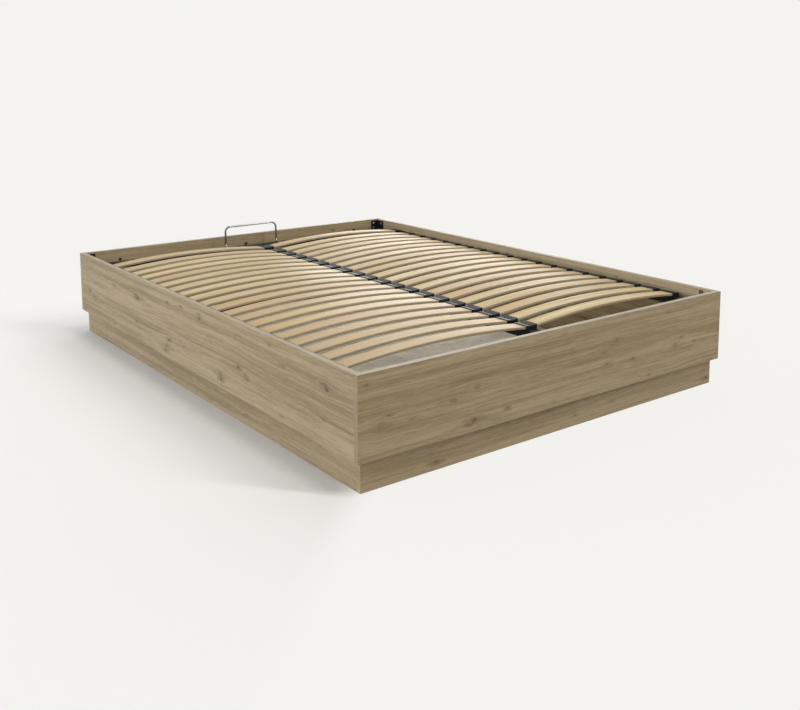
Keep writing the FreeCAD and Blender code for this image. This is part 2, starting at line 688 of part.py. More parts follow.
def pivot_pieces():
    """Pin, spacer and lock nut of the lift pivot, drawn along Z from the plate's face inwards."""
    nut_start = "frame_side_gap - hinge_plate_thickness + rail_width + nut_play"
    pin_end = f"{nut_start} + nut_height + pin_proud"
    pin = peg("pivot_pin_master", ROUND_SIDES, [("pivot_diameter", "0", pin_end)])
    bore = "pivot_diameter + 2 * pivot_play"
    washer = "frame_side_gap - hinge_plate_thickness - 2 * pivot_spacer_play"
    spacer = flat_ring("pivot_spacer_master", ROUND_SIDES, "pivot_spacer_diameter", bore, washer)
    nut = flat_ring("pivot_nut_master", NUT_SIDES, "nut_width", bore, "nut_height")
    face, y, z = size["plate_face"], size["pivot_y"], size["pivot_z"]
    spacer_x = face - size["pivot_spacer_play"]
    nut_x = face - number(nut_start)
    return (
        gather("pivot_pins", both_sides(moved(pin.Shape, face, y, z, INWARD))),
        gather("pivot_spacers", both_sides(moved(spacer.Shape, spacer_x, y, z, INWARD))),
        gather("pivot_lock_nuts", both_sides(moved(nut.Shape, nut_x, y, z, INWARD))),
    )


def strut_base_studs():
    """Studs on the hinge plates for the lower eyes of the gas springs."""
    eye_start = "plate_face - strut_x - strut_eye_width / 2"
    collar_end = f"{eye_start} - stud_play"
    head = f"{eye_start} + strut_eye_width + stud_play"
    stud_end = f"{head} + stud_head_height"
    stud = peg("base_stud_master", SMALL_SIDES, [
        ("stud_collar_diameter", "0", collar_end), ("strut_stud_diameter", collar_end, head),
        ("stud_head_diameter", head, stud_end)])
    place = (size["plate_face"], size["strut_base_y"], size["strut_base_height"])
    return gather("strut_base_studs", both_sides(moved(stud.Shape, *place, INWARD)))


keep(*hinge_plates(), *pivot_pieces(), strut_base_studs())

# Frame rests near the foot, with rubber pads
REST_SCREWS = ("rest_length / 4", "rest_length * 3 / 4")
REST_SCREW_DROP = "rest_flange * 2 / 3"


def frame_rests():
    """Angle rests under the foot ends of the rails, drawn for the right side."""
    body = new_body("frame_rest_master")
    section = new_sketch(body, "XZ_Plane", "section")
    outline(section, [
        ("0", "0"), ("0", "-rest_flange"), ("-rest_thickness", "-rest_flange"),
        ("-rest_thickness", "-rest_thickness"),
        ("-frame_side_gap - rail_width", "-rest_thickness"), ("-frame_side_gap - rail_width", "0")])
    pad(body, section, "rest_length", symmetric=False, reverse=True)
    holes = new_sketch(body, "YZ_Plane", "holes")
    for along in REST_SCREWS:
        many_sided(holes, along, f"-{REST_SCREW_DROP}", SCREW_HOLE, SMALL_SIDES)
    pocket(body, holes, "4 * rest_thickness")
    corner = (size["inner_width"] / 2, size["rest_y"], size["shelf_top"])
    screws = []
    for along in REST_SCREWS:
        place = (-size["rest_thickness"], number(along), -number(REST_SCREW_DROP))
        screws += both_sides(moved(moved(screw.Shape, *place, INWARD), *corner))
    rests = both_sides(moved(body.Shape, *corner))
    return gather("frame_rests", rests), gather("rest_screws", screws)


def rest_pads():
    pads = []
    for low_x in ("rail_inner + pad_margin / 2", "pad_margin / 2 - rail_outer"):
        pads.append(board("rest_pad", "rail_width - pad_margin", "rest_length - 2 * pad_margin",
                          "pad_height", low_x, "rest_y + pad_margin", "shelf_top"))
    compound = doc.addObject("Part::Compound", "rest_pads")
    compound.Links = pads
    return compound


keep(*frame_rests(), rest_pads())

# Steel tubes of the slat frame


def tube_section(sketch, width):
    half = f"({width}) / 2"
    rectangle(sketch, f"-{half}", "-tube_height / 2", half, "tube_height / 2")
    rectangle(sketch, f"tube_wall - {half}", "tube_wall - tube_height / 2",
              f"{half} - tube_wall", "tube_height / 2 - tube_wall")


def tube(label, plane, width, length, x, y):
    """A rectangular tube with eased outer corners, lying across or along the bed."""
    body = new_body(label)
    section = new_sketch(body, plane, "section")
    tube_section(section, width)
    blank = pad(body, section, length)
    reach = number(f"({width}) / 2") - EDGE_TOLERANCE

    def outer_corner(along, middle):
        side = middle.x if plane == "XZ_Plane" else middle.y
        run = along.y if plane == "XZ_Plane" else along.x
        return abs(run) > EDGE_TOLERANCE and abs(side) > reach

    chamfer_edges(body, blank, outer_corner, "tube_corner")
    return bind(body, x=x, y=y, z="frame_underside + tube_height / 2")


def side_rail(label, side):
    """A side rail with a way through it for the pivot sleeve."""
    body = tube(label, "XZ_Plane", "rail_width", "rail_length", f"{side} * rail_center", "0")
    way = new_sketch(body, "YZ_Plane", "pivot_way")
    many_sided(way, "pivot_y", "pivot_z - frame_underside - tube_height / 2",
               "pivot_bush_diameter + 2 * pivot_play", ROUND_SIDES)
    pocket(body, way, "2 * rail_width")
    return body


def half_tubes(label, y):
    """A cross tube in two lengths, from the spine to each rail."""
    master = tube(f"{label}_master", "YZ_Plane", "cross_tube_width", "half_tube_length",
                  "spine_width / 2 + half_tube_length / 2", y)
    doc.recompute()
    return gather(label, both_sides(master.Shape))


def pivot_sleeves():
    sleeve = flat_ring("pivot_sleeve_master", ROUND_SIDES, "pivot_bush_diameter",
                       "pivot_diameter + 2 * pivot_play", "rail_width")
    place = (size["rail_inner"], size["pivot_y"], size["pivot_z"])
    return gather("pivot_sleeves", both_sides(moved(sleeve.Shape, *place, Z_TO_X)))


def rail_end_plugs():
    """Plastic plugs in the four ends of the rails."""
    body = new_body("end_plug_master")
    flange = new_sketch(body, "XZ_Plane", "flange")
    rectangle(flange, "-rail_width / 2", "-tube_height / 2", "rail_width / 2", "tube_height / 2")
    pad(body, flange, "plug_flange", symmetric=False)
    spigot = new_sketch(body, "XZ_Plane", "spigot")
    half_width = "(rail_width / 2 - tube_wall - plug_play)"
    half_height = "(tube_height / 2 - tube_wall - plug_play)"
    rectangle(spigot, f"-{half_width}", f"-{half_height}", half_width, half_height)
    pad(body, spigot, "plug_spigot", symmetric=False, reverse=True)
    doc.recompute()
    plugs = []
    for x in (-size["rail_center"], size["rail_center"]):
        plugs.append(moved(body.Shape, x, -size["rail_length"] / 2, size["pivot_z"]))
        plugs.append(moved(body.Shape, x, size["rail_length"] / 2, size["pivot_z"], HALF_TURN))
    return gather("rail_end_plugs", plugs)


keep(side_rail("left_side_rail", -1), side_rail("right_side_rail", 1))
keep(tube("center_spine", "XZ_Plane", "spine_width", "spine_length", "0", "0"))
keep(tube("foot_cross_tube", "YZ_Plane", "cross_tube_width", "2 * rail_inner", "0", "-end_tube_y"))
keep(tube("head_cross_tube", "YZ_Plane", "cross_tube_width", "2 * rail_inner", "0", "end_tube_y"))
keep(half_tubes("middle_cross_tubes", "0"), half_tubes("retainer_cross_tubes", "retainer_tube_y"))
keep(pivot_sleeves(), rail_end_plugs())

# Sprung slats in their caps


def slat_master():
    """One bowed slat over the right half: two arcs about one center, closed by upright ends."""
    body = new_body("slat_master")
    bow = new_sketch(body, "XZ_Plane", "bow")
    low, thick, reach = size["bow_radius"], size["slat_thickness"], size["half_chord"]
    center = Vector(0, size["slat_crown"] - low, 0)
    arcs = []
    for radius in (low, low + thick):
        swing = math.asin(reach / radius)
        ring = Part.Circle(center, Vector(0, 0, 1), radius)
        arcs.append(bow.addGeometry(Part.ArcOfCircle(ring, math.pi / 2 - swing, math.pi / 2 + swing)))
    under, over = arcs
    ends = []
    for finish in (1, 2):
        start = bow.getPoint(under, finish)
        ends.append(bow.addGeometry(Part.LineSegment(start, bow.getPoint(over, finish))))
        bow.addConstraint(Sketcher.Constraint("Coincident", ends[-1], 1, under, finish))
        bow.addConstraint(Sketcher.Constraint("Coincident", ends[-1], 2, over, finish))
        bow.addConstraint(Sketcher.Constraint("Vertical", ends[-1]))
    bow.addConstraint(Sketcher.Constraint("Coincident", under, 3, over, 3))
    fix_point(bow, under, 3, "0", "slat_crown - bow_radius")
    for arc, formula in ((under, "bow_radius"), (over, "bow_radius + slat_thickness")):
        row = bow.addConstraint(Sketcher.Constraint("Radius", arc, number(formula)))
        bow.setExpression(f"Constraints[{row}]", bound(formula))
    for finish, formula in ((1, "half_chord"), (2, "-half_chord")):
        row = bow.addConstraint(Sketcher.Constraint("DistanceX", -1, 1, under, finish, number(formula)))
        bow.setExpression(f"Constraints[{row}]", bound(formula))
    pad(body, bow, "slat_width")
    doc.recompute()
    return body


def cap_top(reach, slope):
    """Height of a cap's roof over the tube, at a distance from the slat's end towards the slat."""
    return f"cap_seat + mouth_height + cap_roof + ({slope}) * ({reach})"


def mouth(start, stop, slope):
    """Corners of the sloping mouth that takes a slat end, measured from the end towards the slat."""
    corners = []
    for reach, rise in ((start, "0"), (stop, "0"), (stop, "mouth_height"), (start, "mouth_height")):
        corners.append((reach, f"cap_seat + {rise} + ({slope}) * ({reach})"))
    return corners


def side_cap_master():
    """Cap on the left rail, drawn from the slat's end with the mouth towards +X."""
    body = new_body("side_cap_master")
    back = "-slat_end_play - cap_end_wall"
    block = new_sketch(body, "XZ_Plane", "block")
    outline(block, [
        (back, "0"), ("side_cap_mouth", "0"), ("side_cap_mouth", cap_top("side_cap_mouth", "side_slope")),
        (back, cap_top(back, "side_slope"))])
    pad(body, block, "cap_length")
    opening = new_sketch(body, "XZ_Plane", "mouth")
    outline(opening, mouth("-slat_end_play", "side_cap_mouth + mouth_overrun", "side_slope"))
    pocket(body, opening, "slat_width + 2 * slat_play")
    return body


def spine_cap_master():
    """Twin cap on the spine with a mouth on each side and a groove along its top."""
    body = new_body("spine_cap_master")
    edge = "slat_inner_end + spine_cap_mouth"
    groove = "cap_groove_width / 2"
    top = cap_top("spine_cap_mouth", "spine_slope")
    dip = cap_top(f"{groove} - slat_inner_end", "spine_slope")
    block = new_sketch(body, "XZ_Plane", "block")
    groove_floor = f"{dip} - cap_groove_depth"
    outline(block, [
        (f"-({edge})", "0"), (edge, "0"), (edge, top), (groove, dip), (groove, groove_floor),
        (f"-{groove}", groove_floor), (f"-{groove}", dip), (f"-({edge})", top)])
    pad(body, block, "cap_length")
    for name, side in (("right_mouth", 1), ("left_mouth", -1)):
        opening = new_sketch(body, "XZ_Plane", name)
        corners = mouth("-slat_end_play", "spine_cap_mouth + mouth_overrun", "spine_slope")
        outline(opening, [(f"{side} * (slat_inner_end + {across})", up) for across, up in corners])
        pocket(body, opening, "slat_width + 2 * slat_play")
    return body


def slat_suspension():
    """Every row: two slats, a cap at each outer end and a twin cap between them."""
    slat, side_cap, spine_cap = slat_master(), side_cap_master(), spine_cap_master()
    left_slats, right_slats, side_caps, spine_caps = [], [], [], []
    first = size["inner_length"] / 2 - size["slat_head_setback"]
    rows = [first - row * size["slat_pitch"] for row in range(int(size["slat_rows"]))]
    rows[0] += size["first_slat_lead"]
    for y in rows:
        right_slats.append(moved(slat.Shape, size["slat_middle"], y, size["slat_end_height"]))
        left_slats.append(moved(slat.Shape, -size["slat_middle"], y, size["slat_end_height"]))
        side_caps.append(moved(side_cap.Shape, -size["slat_outer_end"], y, size["tube_top"]))
        side_caps.append(moved(side_cap.Shape, size["slat_outer_end"], y, size["tube_top"], HALF_TURN))
        spine_caps.append(moved(spine_cap.Shape, 0, y, size["tube_top"]))
    return (gather("left_slats", left_slats), gather("right_slats", right_slats),
            gather("side_slat_caps", side_caps), gather("spine_slat_caps", spine_caps))


keep(*slat_suspension())

# Mattress retainer: one bent rod held by saddle clamps


def bend(before, corner, after, radius):
    """The arc that rounds a square corner between two points."""
    back = corner + (before - corner).normalize() * radius
    ahead = corner + (after - corner).normalize() * radius
    heart = back + ahead - corner
    middle = heart + (corner - heart).normalize() * radius
    return Part.Arc(back, middle, ahead), back, ahead


def mattress_retainer():
    half = size["retainer_span"] / 2
    tail = size["retainer_tube_y"] - size["retainer_tail"]
    top = size["retainer_top"] - size["retainer_rod"] / 2
    low = size["retainer_run_z"]
    back = size["end_tube_y"]
    corners = [Vector(-half, tail, low), Vector(-half, back, low), Vector(-half, back, top),
               Vector(half, back, top), Vector(half, back, low), Vector(half, tail, low)]
    radii = [size["retainer_foot_bend"], size["retainer_corner"],
             size["retainer_corner"], size["retainer_foot_bend"]]
    edges = []
    here = corners[0]
    for before, corner, after, radius in zip(corners, corners[1:], corners[2:], radii):
        arc, start, stop = bend(before, corner, after, radius)
        edges += [Part.LineSegment(here, start).toShape(), arc.toShape()]
        here = stop
    edges.append(Part.LineSegment(here, corners[-1]).toShape())
    path = Part.Wire(edges)
    spoke = Z_WAY * (size["retainer_rod"] / 2)
    turns = [Rotation(Y_WAY, 360 * side / ROUND_SIDES) for side in range(ROUND_SIDES)]
    ring = [corners[0] + turn.multVec(spoke) for turn in turns]
    rod = doc.addObject("Part::Feature", "mattress_retainer")
    rod.Shape = Part.Solid(path.makePipeShell([Part.makePolygon(ring + ring[:1])], True, False))
    return rod


def retainer_clamps():
    """Saddle clamps that hold the tails of the rod down on their cross tube."""
    body = new_body("clamp_master")
    strap = new_sketch(body, "XZ_Plane", "strap")
    rectangle(strap, "-clamp_width / 2", "0", "clamp_width / 2", "clamp_steel")
    pad(body, strap, "clamp_length")
    hump = new_sketch(body, "XZ_Plane", "hump")
    many_sided(hump, "0", "retainer_rod / 2", "retainer_rod + 2 * (clamp_play + clamp_steel)", ROUND_SIDES)
    pad(body, hump, "clamp_length")
    way = new_sketch(body, "XZ_Plane", "rod_way")
    many_sided(way, "0", "retainer_rod / 2", "retainer_rod + 2 * clamp_play", ROUND_SIDES)
    pocket(body, way, "2 * clamp_length")
    under = new_sketch(body, "XZ_Plane", "underside")
    rectangle(under, "-clamp_width", "-clamp_width", "clamp_width", "0")
    pocket(body, under, "2 * clamp_length")
    place = (size["retainer_span"] / 2, size["retainer_tube_y"], size["tube_top"])
    return gather("retainer_clamps", both_sides(moved(body.Shape, *place)))


keep(mattress_retainer(), retainer_clamps())

# Gas springs, drawn along Z from the lower stud; the upper stud belongs to the rod
strut_run = Vector(0, size["strut_top_y"] - size["strut_base_y"],
                   size["strut_top_z"] - size["strut_base_height"])
STRUT_TURN = Rotation(Z_WAY, strut_run)


def strut_place(side):
    stud = Vector(side * size["strut_x"], size["strut_base_y"], size["strut_base_height"])
    return Placement(stud, STRUT_TURN)


def gas_cylinder(label, side):
    """Hollow cylinder with a rod guide at its mouth, a neck and the lower eye."""
    body = new_body(label)
    gland_floor = "cylinder_top - gland_length"
    stem(body, "Additive", "neck_diameter", "strut_eye_diameter / 2 - eye_sink", "cylinder_neck")
    stem(body, "Additive", "cylinder_diameter", "cylinder_neck", "cylinder_top")
    stem(body, "Subtractive", "cylinder_diameter - 2 * cylinder_wall",
         "cylinder_neck + 2 * cylinder_wall", gland_floor)
    stem(body, "Subtractive", "rod_diameter + 2 * rod_play", gland_floor, "cylinder_top")
    eye = new_sketch(body, "YZ_Plane", "eye")
    many_sided(eye, "0", "0", "strut_eye_diameter", ROUND_SIDES)
    pad(body, eye, "strut_eye_width")
    bore = new_sketch(body, "YZ_Plane", "bore")
    many_sided(bore, "0", "0", "strut_stud_diameter + 2 * pivot_play", ROUND_SIDES)
    pocket(body, bore, "2 * strut_eye_width")
    body.Placement = strut_place(side)
    return bind(body, x=f"{side} * strut_x", y="strut_base_y", z="strut_base_height")


def gas_rod(label, side):
    """Rod with its piston inside the cylinder, and the upper eye with its stud towards the panel."""
    body = new_body(label)
    closed = "sqrt((strut_top_y - strut_base_y) ^ 2 + (strut_top_z - strut_base_height) ^ 2)"
    low = "cylinder_neck + 4 * cylinder_wall"
    rod_end = f"{closed} - strut_eye_diameter / 2 + eye_sink"
    piston_end = f"{low} + piston_length"
    stem(body, "Additive", "cylinder_diameter - 2 * (cylinder_wall + piston_play)", low, piston_end)
    stem(body, "Additive", "rod_diameter", piston_end, rod_end)
    eye = new_sketch(body, "YZ_Plane", "eye")
    many_sided(eye, "0", closed, "strut_eye_diameter", ROUND_SIDES)
    pad(body, eye, "strut_eye_width")
    stud = new_sketch(body, "YZ_Plane", "stud")
    many_sided(stud, "0", closed, "strut_stud_diameter", ROUND_SIDES)
    pad(body, stud, "stud_reach - strut_stud_gap", symmetric=False, reverse=side < 0)
    body.Placement = strut_place(side)
    return bind(body, x=f"{side} * strut_x", y="strut_base_y", z="strut_base_height")


def strut_tabs():
    """Tabs welded under the rails, each with the nut of the upper stud on its outer face."""
    body = new_body("strut_tab_master")
    face = new_sketch(body, "YZ_Plane", "face")
    outline(face, [
        ("-tab_length / 2", "strut_top_drop"), ("-tab_edge", "-tab_edge"), ("tab_edge", "-tab_edge"),
        ("tab_length / 2", "strut_top_drop")])
    blank = pad(body, face, "tab_thickness", symmetric=False)

    def lower_corner(along, middle):
        return abs(along.x) > EDGE_TOLERANCE and middle.z < 0

    chamfer_edges(body, blank, lower_corner, "tab_corner")
    nut = new_sketch(body, "YZ_Plane", "nut")
    many_sided(nut, "0", "0", "tab_nut_diameter", NUT_SIDES)
    pad(body, nut, "tab_thickness + tab_nut_height", symmetric=False)
    doc.recompute()
    place = (size["strut_x"] + size["stud_reach"], size["strut_top_y"], size["strut_top_z"])
    return gather("strut_tabs", both_sides(moved(body.Shape, *place)))


keep(strut_tabs())
for side_name, side_sign in (("left", -1), ("right", 1)):
    keep(gas_cylinder(f"{side_name}_gas_cylinder", side_sign), gas_rod(f"{side_name}_gas_rod", side_sign))

# Check every object, then write one file for each sub-part
doc.removeObject(probe.Name)
doc.recompute()
for item in doc.Objects:
    if {"Invalid", "Error"} & set(item.State):
        raise ValueError(f"{item.Label} failed: {item.State}")
os.makedirs("parts", exist_ok=True)
for piece in parts:
    shape = piece.Shape
    if shape.isNull() or not shape.isValid():
        raise ValueError(f"{piece.Label} has no valid shape")
    shape.exportStep(f"parts/{piece.Label}.step")
    print(piece.Label, len(shape.Solids), "solids", round(shape.Volume / 1000, 1), "cm3")
print(len(parts), "sub-parts; gas spring closed length", round(strut_run.Length, 2))
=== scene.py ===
# %% [markdown]
# # A lift-up storage bed
# The real bed is an oak-look box with a welded steel frame hinged inside it. Forty bowed birch slats
# sit in black moulded caps on that frame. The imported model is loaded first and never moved: it gives
# every size and place, so each piece made here only adds finish and fine shape to a piece that is
# already there.

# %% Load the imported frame
import math

import bmesh
import bpy
import numpy as np
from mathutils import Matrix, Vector


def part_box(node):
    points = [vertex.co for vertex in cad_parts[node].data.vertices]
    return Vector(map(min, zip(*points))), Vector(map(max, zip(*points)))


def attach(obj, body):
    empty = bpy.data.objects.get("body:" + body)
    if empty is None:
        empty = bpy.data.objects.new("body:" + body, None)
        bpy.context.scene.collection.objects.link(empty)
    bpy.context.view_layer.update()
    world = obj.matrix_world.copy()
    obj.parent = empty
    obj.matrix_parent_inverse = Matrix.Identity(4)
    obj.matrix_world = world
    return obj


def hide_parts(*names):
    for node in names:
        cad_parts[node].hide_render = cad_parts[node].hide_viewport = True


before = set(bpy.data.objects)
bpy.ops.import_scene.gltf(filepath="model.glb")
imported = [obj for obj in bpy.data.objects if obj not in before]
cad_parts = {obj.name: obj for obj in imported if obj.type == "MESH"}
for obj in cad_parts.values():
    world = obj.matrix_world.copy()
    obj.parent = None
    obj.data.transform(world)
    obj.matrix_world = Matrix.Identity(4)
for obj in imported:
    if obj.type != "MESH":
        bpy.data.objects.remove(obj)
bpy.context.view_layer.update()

MM = 0.001

# %% [markdown]
# ## The camera
# The picture was taken with a lens that is shifted down, so upright edges stay nearly upright. The same
# look could come from a level camera with a very large shift. A small tilt with a smaller shift is used
# instead, because then the object also stays in the picture when the camera goes round it.

# %% Place the camera
FOCAL_PIXELS = 989
PICTURE_WIDTH = 800
SENSOR_WIDTH = 36
CAMERA_PLACE = (-2.017, -2.884, 1.063)
CAMERA_TILT = 7.70
CAMERA_YAW = 37.67
LENS_SHIFT = (-0.02125, -0.2)

lens = bpy.data.cameras.new("photo_lens")
lens.sensor_width = SENSOR_WIDTH
lens.lens = FOCAL_PIXELS * SENSOR_WIDTH / PICTURE_WIDTH
lens.shift_x, lens.shift_y = LENS_SHIFT
camera = bpy.data.objects.new("photo_camera", lens)
camera.location = CAMERA_PLACE
camera.rotation_euler = (math.radians(90 - CAMERA_TILT), 0, -math.radians(CAMERA_YAW))
bpy.context.scene.collection.objects.link(camera)
bpy.context.scene.camera = camera
print("lens", round(lens.lens, 2), "mm")

# %% [markdown]
# ## Helpers for node trees
# Materials and Geometry Nodes are both node trees, so one small set of helpers writes both. A value
# handed to a socket may be a plain number, another socket, or a whole node, whose first output is then
# used.

# %% Node helpers


def socket_of(sockets, key):
    """The socket with that number, or the one in use with that name."""
    if isinstance(key, int):
        return sockets[key]
    return next(socket for socket in sockets if socket.name == key and socket.enabled)


def output_of(value):
    """A node stands for its first output in use."""
    if isinstance(value, bpy.types.Node):
        return next(socket for socket in value.outputs if socket.enabled)
    return value


def add_node(tree, kind, inputs=None, **settings):
    """Add one node with its settings, and fill or link its inputs."""
    node = tree.nodes.new(kind)
    for name, value in settings.items():
        setattr(node, name, value)
    for key, value in (inputs or {}).items():
        source = output_of(value)
        target = socket_of(node.inputs, key)
        if isinstance(source, bpy.types.NodeSocket):
            tree.links.new(source, target)
        else:
            target.default_value = source
    return node


def maths(tree, operation, *values):
    return add_node(tree, "ShaderNodeMath", dict(enumerate(values)), operation=operation)


def vectors(tree, operation, *values):
    return add_node(tree, "ShaderNodeVectorMath", dict(enumerate(values)), operation=operation)


def ranged(tree, value, low, high, new_low=0.0, new_high=1.0):
    """A value between low and high, eased to run from new_low to new_high."""
    inputs = {"Value": value, "From Min": low, "From Max": high, "To Min": new_low, "To Max": new_high}
    return add_node(tree, "ShaderNodeMapRange", inputs, interpolation_type="SMOOTHSTEP")


def folded(tree, operation, values):
    """Several values made one by an operation such as ADD or MAXIMUM."""
    total = values[0]
    for value in values[1:]:
        total = maths(tree, operation, total, value)
    return total


def weighed(tree, *parts):
    """The sum of several values, each times its weight."""
    return folded(tree, "ADD", [maths(tree, "MULTIPLY", value, weight) for value, weight in parts])


def parts_of(tree, vector):
    """The X, Y and Z of a vector."""
    return add_node(tree, "ShaderNodeSeparateXYZ", {"Vector": vector}).outputs


print("number helpers ready")

# %% Colour and material helpers
# Noise keeps mostly to the middle of 0 to 1, so a look that follows it is spread over one of these
NOISE_SPAN = (0.3, 0.7)
NOISE_MIDDLE = (0.35, 0.65)


def mixed(tree, share, first, second):
    inputs = {"Factor": share, "A": first, "B": second}
    return add_node(tree, "ShaderNodeMix", inputs, data_type="RGBA")


def noise(tree, place, scale, detail=3.0, roughness=0.5, warp=0.0):
    """Noise from 0 to 1 at a place; the scale is a number for each direction."""
    stretched = vectors(tree, "MULTIPLY", place, scale)
    inputs = {"Vector": stretched, "Scale": 1.0, "Detail": detail}
    inputs |= {"Roughness": roughness, "Distortion": warp}
    return add_node(tree, "ShaderNodeTexNoise", inputs)


def paint(red, green, blue):
    """A colour written as it looks on screen, from 0 to 255, as linear light."""

    def linear(level):
        share = level / 255
        return share / 12.92 if share <= 0.04045 else ((share + 0.055) / 1.055) ** 2.4

    return (linear(red), linear(green), linear(blue), 1.0)


def new_material(name):
    material = bpy.data.materials.new(name)
    material.use_nodes = True
    material.node_tree.nodes.clear()
    return material, material.node_tree


def surface(tree, colour, roughness, relief, relief_height, **sockets):
    """Close a material: one Principled surface with a fine bump."""
    bump = add_node(tree, "ShaderNodeBump", {"Height": relief, "Distance": relief_height})
    inputs = {"Base Color": colour, "Roughness": roughness, "Normal": bump}
    inputs |= {name.replace("_", " "): value for name, value in sockets.items()}
    shader = add_node(tree, "ShaderNodeBsdfPrincipled", inputs)
    add_node(tree, "ShaderNodeOutputMaterial", {"Surface": shader})


def own_place(tree):
    """The point on the piece, in metres in the shared frame."""
    return add_node(tree, "ShaderNodeTexCoord").outputs["Object"]


print("material helpers ready")

# %% [markdown]
# ## The stage and its light
# A pale floor runs into a pale backdrop of the same colour. It takes the shadow on the left, and in
# front it glows as the backdrop does, because the photograph has no shadow there. Eight soft suns at
# one compass direction stand for one tall soft box on the right: each casts its own shadow length, and
# together they fade the shadow out as the photograph does. The world adds a low panel on the left, a
# wide one behind and weaker ones on the right and above. Only camera and mirror rays see its pale
# backdrop. A soft box far behind on the right only makes the gloss on lacquer and plastic, as a bright
# window would.

# %% The floor
BACKDROP = paint(244, 243, 239)
FLOOR_SIZE = 60.0
FLOOR_FADE = (5.0, 14.0)
SHADOW_EDGE = (0.13, 0.31)
BRIGHT_SIDE = 0.95
FLOOR_PAINT = (0.775, 0.765, 0.735, 1.0)
FLOOR_BOUNCE = (0.28, 0.27, 0.25, 1.0)


def mirror_or_camera(tree):
    """1 for rays that show a picture: camera, glossy and transmission rays."""
    path = add_node(tree, "ShaderNodeLightPath")
    glossy = maths(tree, "MAXIMUM", path.outputs["Is Camera Ray"], path.outputs["Is Glossy Ray"])
    return maths(tree, "MAXIMUM", glossy, path.outputs["Is Transmission Ray"])


def floor_finish():
    """A floor that takes the shadow on the left, and glows as the backdrop does in front and far away."""
    material, tree = new_material("studio_floor")
    seen = mirror_or_camera(tree)
    matt = add_node(tree, "ShaderNodeBsdfDiffuse", {"Color": mixed(tree, seen, FLOOR_BOUNCE, FLOOR_PAINT)})
    glow = add_node(tree, "ShaderNodeEmission", {"Color": BACKDROP, "Strength": seen})
    place = own_place(tree)
    parts = parts_of(tree, place)
    slant = maths(tree, "SUBTRACT", parts["X"], parts["Y"])
    near = maths(tree, "MULTIPLY", seen, ranged(tree, slant, *SHADOW_EDGE, 0.0, BRIGHT_SIDE))
    far = ranged(tree, vectors(tree, "LENGTH", place), *FLOOR_FADE)
    inputs = {"Fac": maths(tree, "MAXIMUM", near, far), 1: matt, 2: glow}
    blend = add_node(tree, "ShaderNodeMixShader", inputs)
    add_node(tree, "ShaderNodeOutputMaterial", {"Surface": blend})
    return material


def piece_from(name, mesh):
    """A new object for a mesh, at the origin."""
    piece = bpy.data.objects.new(name, mesh)
    bpy.context.scene.collection.objects.link(piece)
    return piece


floor_mesh = bpy.data.meshes.new("studio_floor")
half_floor = FLOOR_SIZE / 2
floor_corners = [(x, y, 0) for x, y in ((-1, -1), (1, -1), (1, 1), (-1, 1))]
floor_mesh.from_pydata([Vector(corner) * half_floor for corner in floor_corners], [], [(0, 1, 2, 3)])
floor = piece_from("studio_floor", floor_mesh)
floor.data.materials.append(floor_finish())
print("floor", FLOOR_SIZE, "m")

# %% The suns
SUN_COMPASS = 52
SUN_SPREAD = 6
SUN_LIGHT = 0.39
SUN_COLOUR = (1.0, 0.975, 0.92)
# Height of each sun in degrees, and its light on the floor in parts of SUN_LIGHT
SUNS = ((80, 0.25), (72, 0.24), (64, 0.08), (56, 0.07), (49, 0.14), (42, 0.14), (35, 0.1), (28, 0.1))


def hang_sun(height, share):
    """A sun that lights the floor by its share, however low it stands."""
    lamp = bpy.data.lights.new(f"sun_{height}", "SUN")
    lamp.angle = math.radians(SUN_SPREAD)
    lamp.color = SUN_COLOUR
    lamp.energy = math.pi * SUN_LIGHT * share / math.sin(math.radians(height))
    holder = bpy.data.objects.new(f"sun_{height}", lamp)
    holder.rotation_euler = (0, math.radians(90 - height), -math.radians(SUN_COMPASS))
    bpy.context.scene.collection.objects.link(holder)


for sun_height, sun_share in SUNS:
    hang_sun(sun_height, sun_share)
print(len(SUNS), "suns")

# %% The soft box behind
BOX_PLACE = Vector((4.0, 4.5, 0.85))
BOX_AIM = Vector((0.35, 0.5, 0.3))
BOX_SIZE = (2.6, 1.1)
BOX_POWER = 50.0

lamp = bpy.data.lights.new("soft_box", "AREA")
lamp.shape = "RECTANGLE"
lamp.size, lamp.size_y = BOX_SIZE
lamp.energy = BOX_POWER
soft_box = bpy.data.objects.new("soft_box", lamp)
soft_box.location = BOX_PLACE
soft_box.rotation_euler = (BOX_AIM - BOX_PLACE).to_track_quat("-Z", "Y").to_euler()
soft_box.visible_camera = False
soft_box.visible_diffuse = False
bpy.context.scene.collection.objects.link(soft_box)
print("soft box", BOX_SIZE, "m")

# %% The world
WORLD_LEFT = (1.26, 2.2)
WORLD_BACK = 1.36
WORLD_RIGHT = 0.38
WORLD_TOP = 0.355
REAR = (-0.6, 0.15)
LEFTWARD = (0.15, -0.75)
LOW = (0.55, 0.15)
WIDE = (-0.1, 0.8)
OVERHEAD = (0.3, 1.0)
FILL_COLOUR = (0.98, 1.0, 1.04, 1.0)


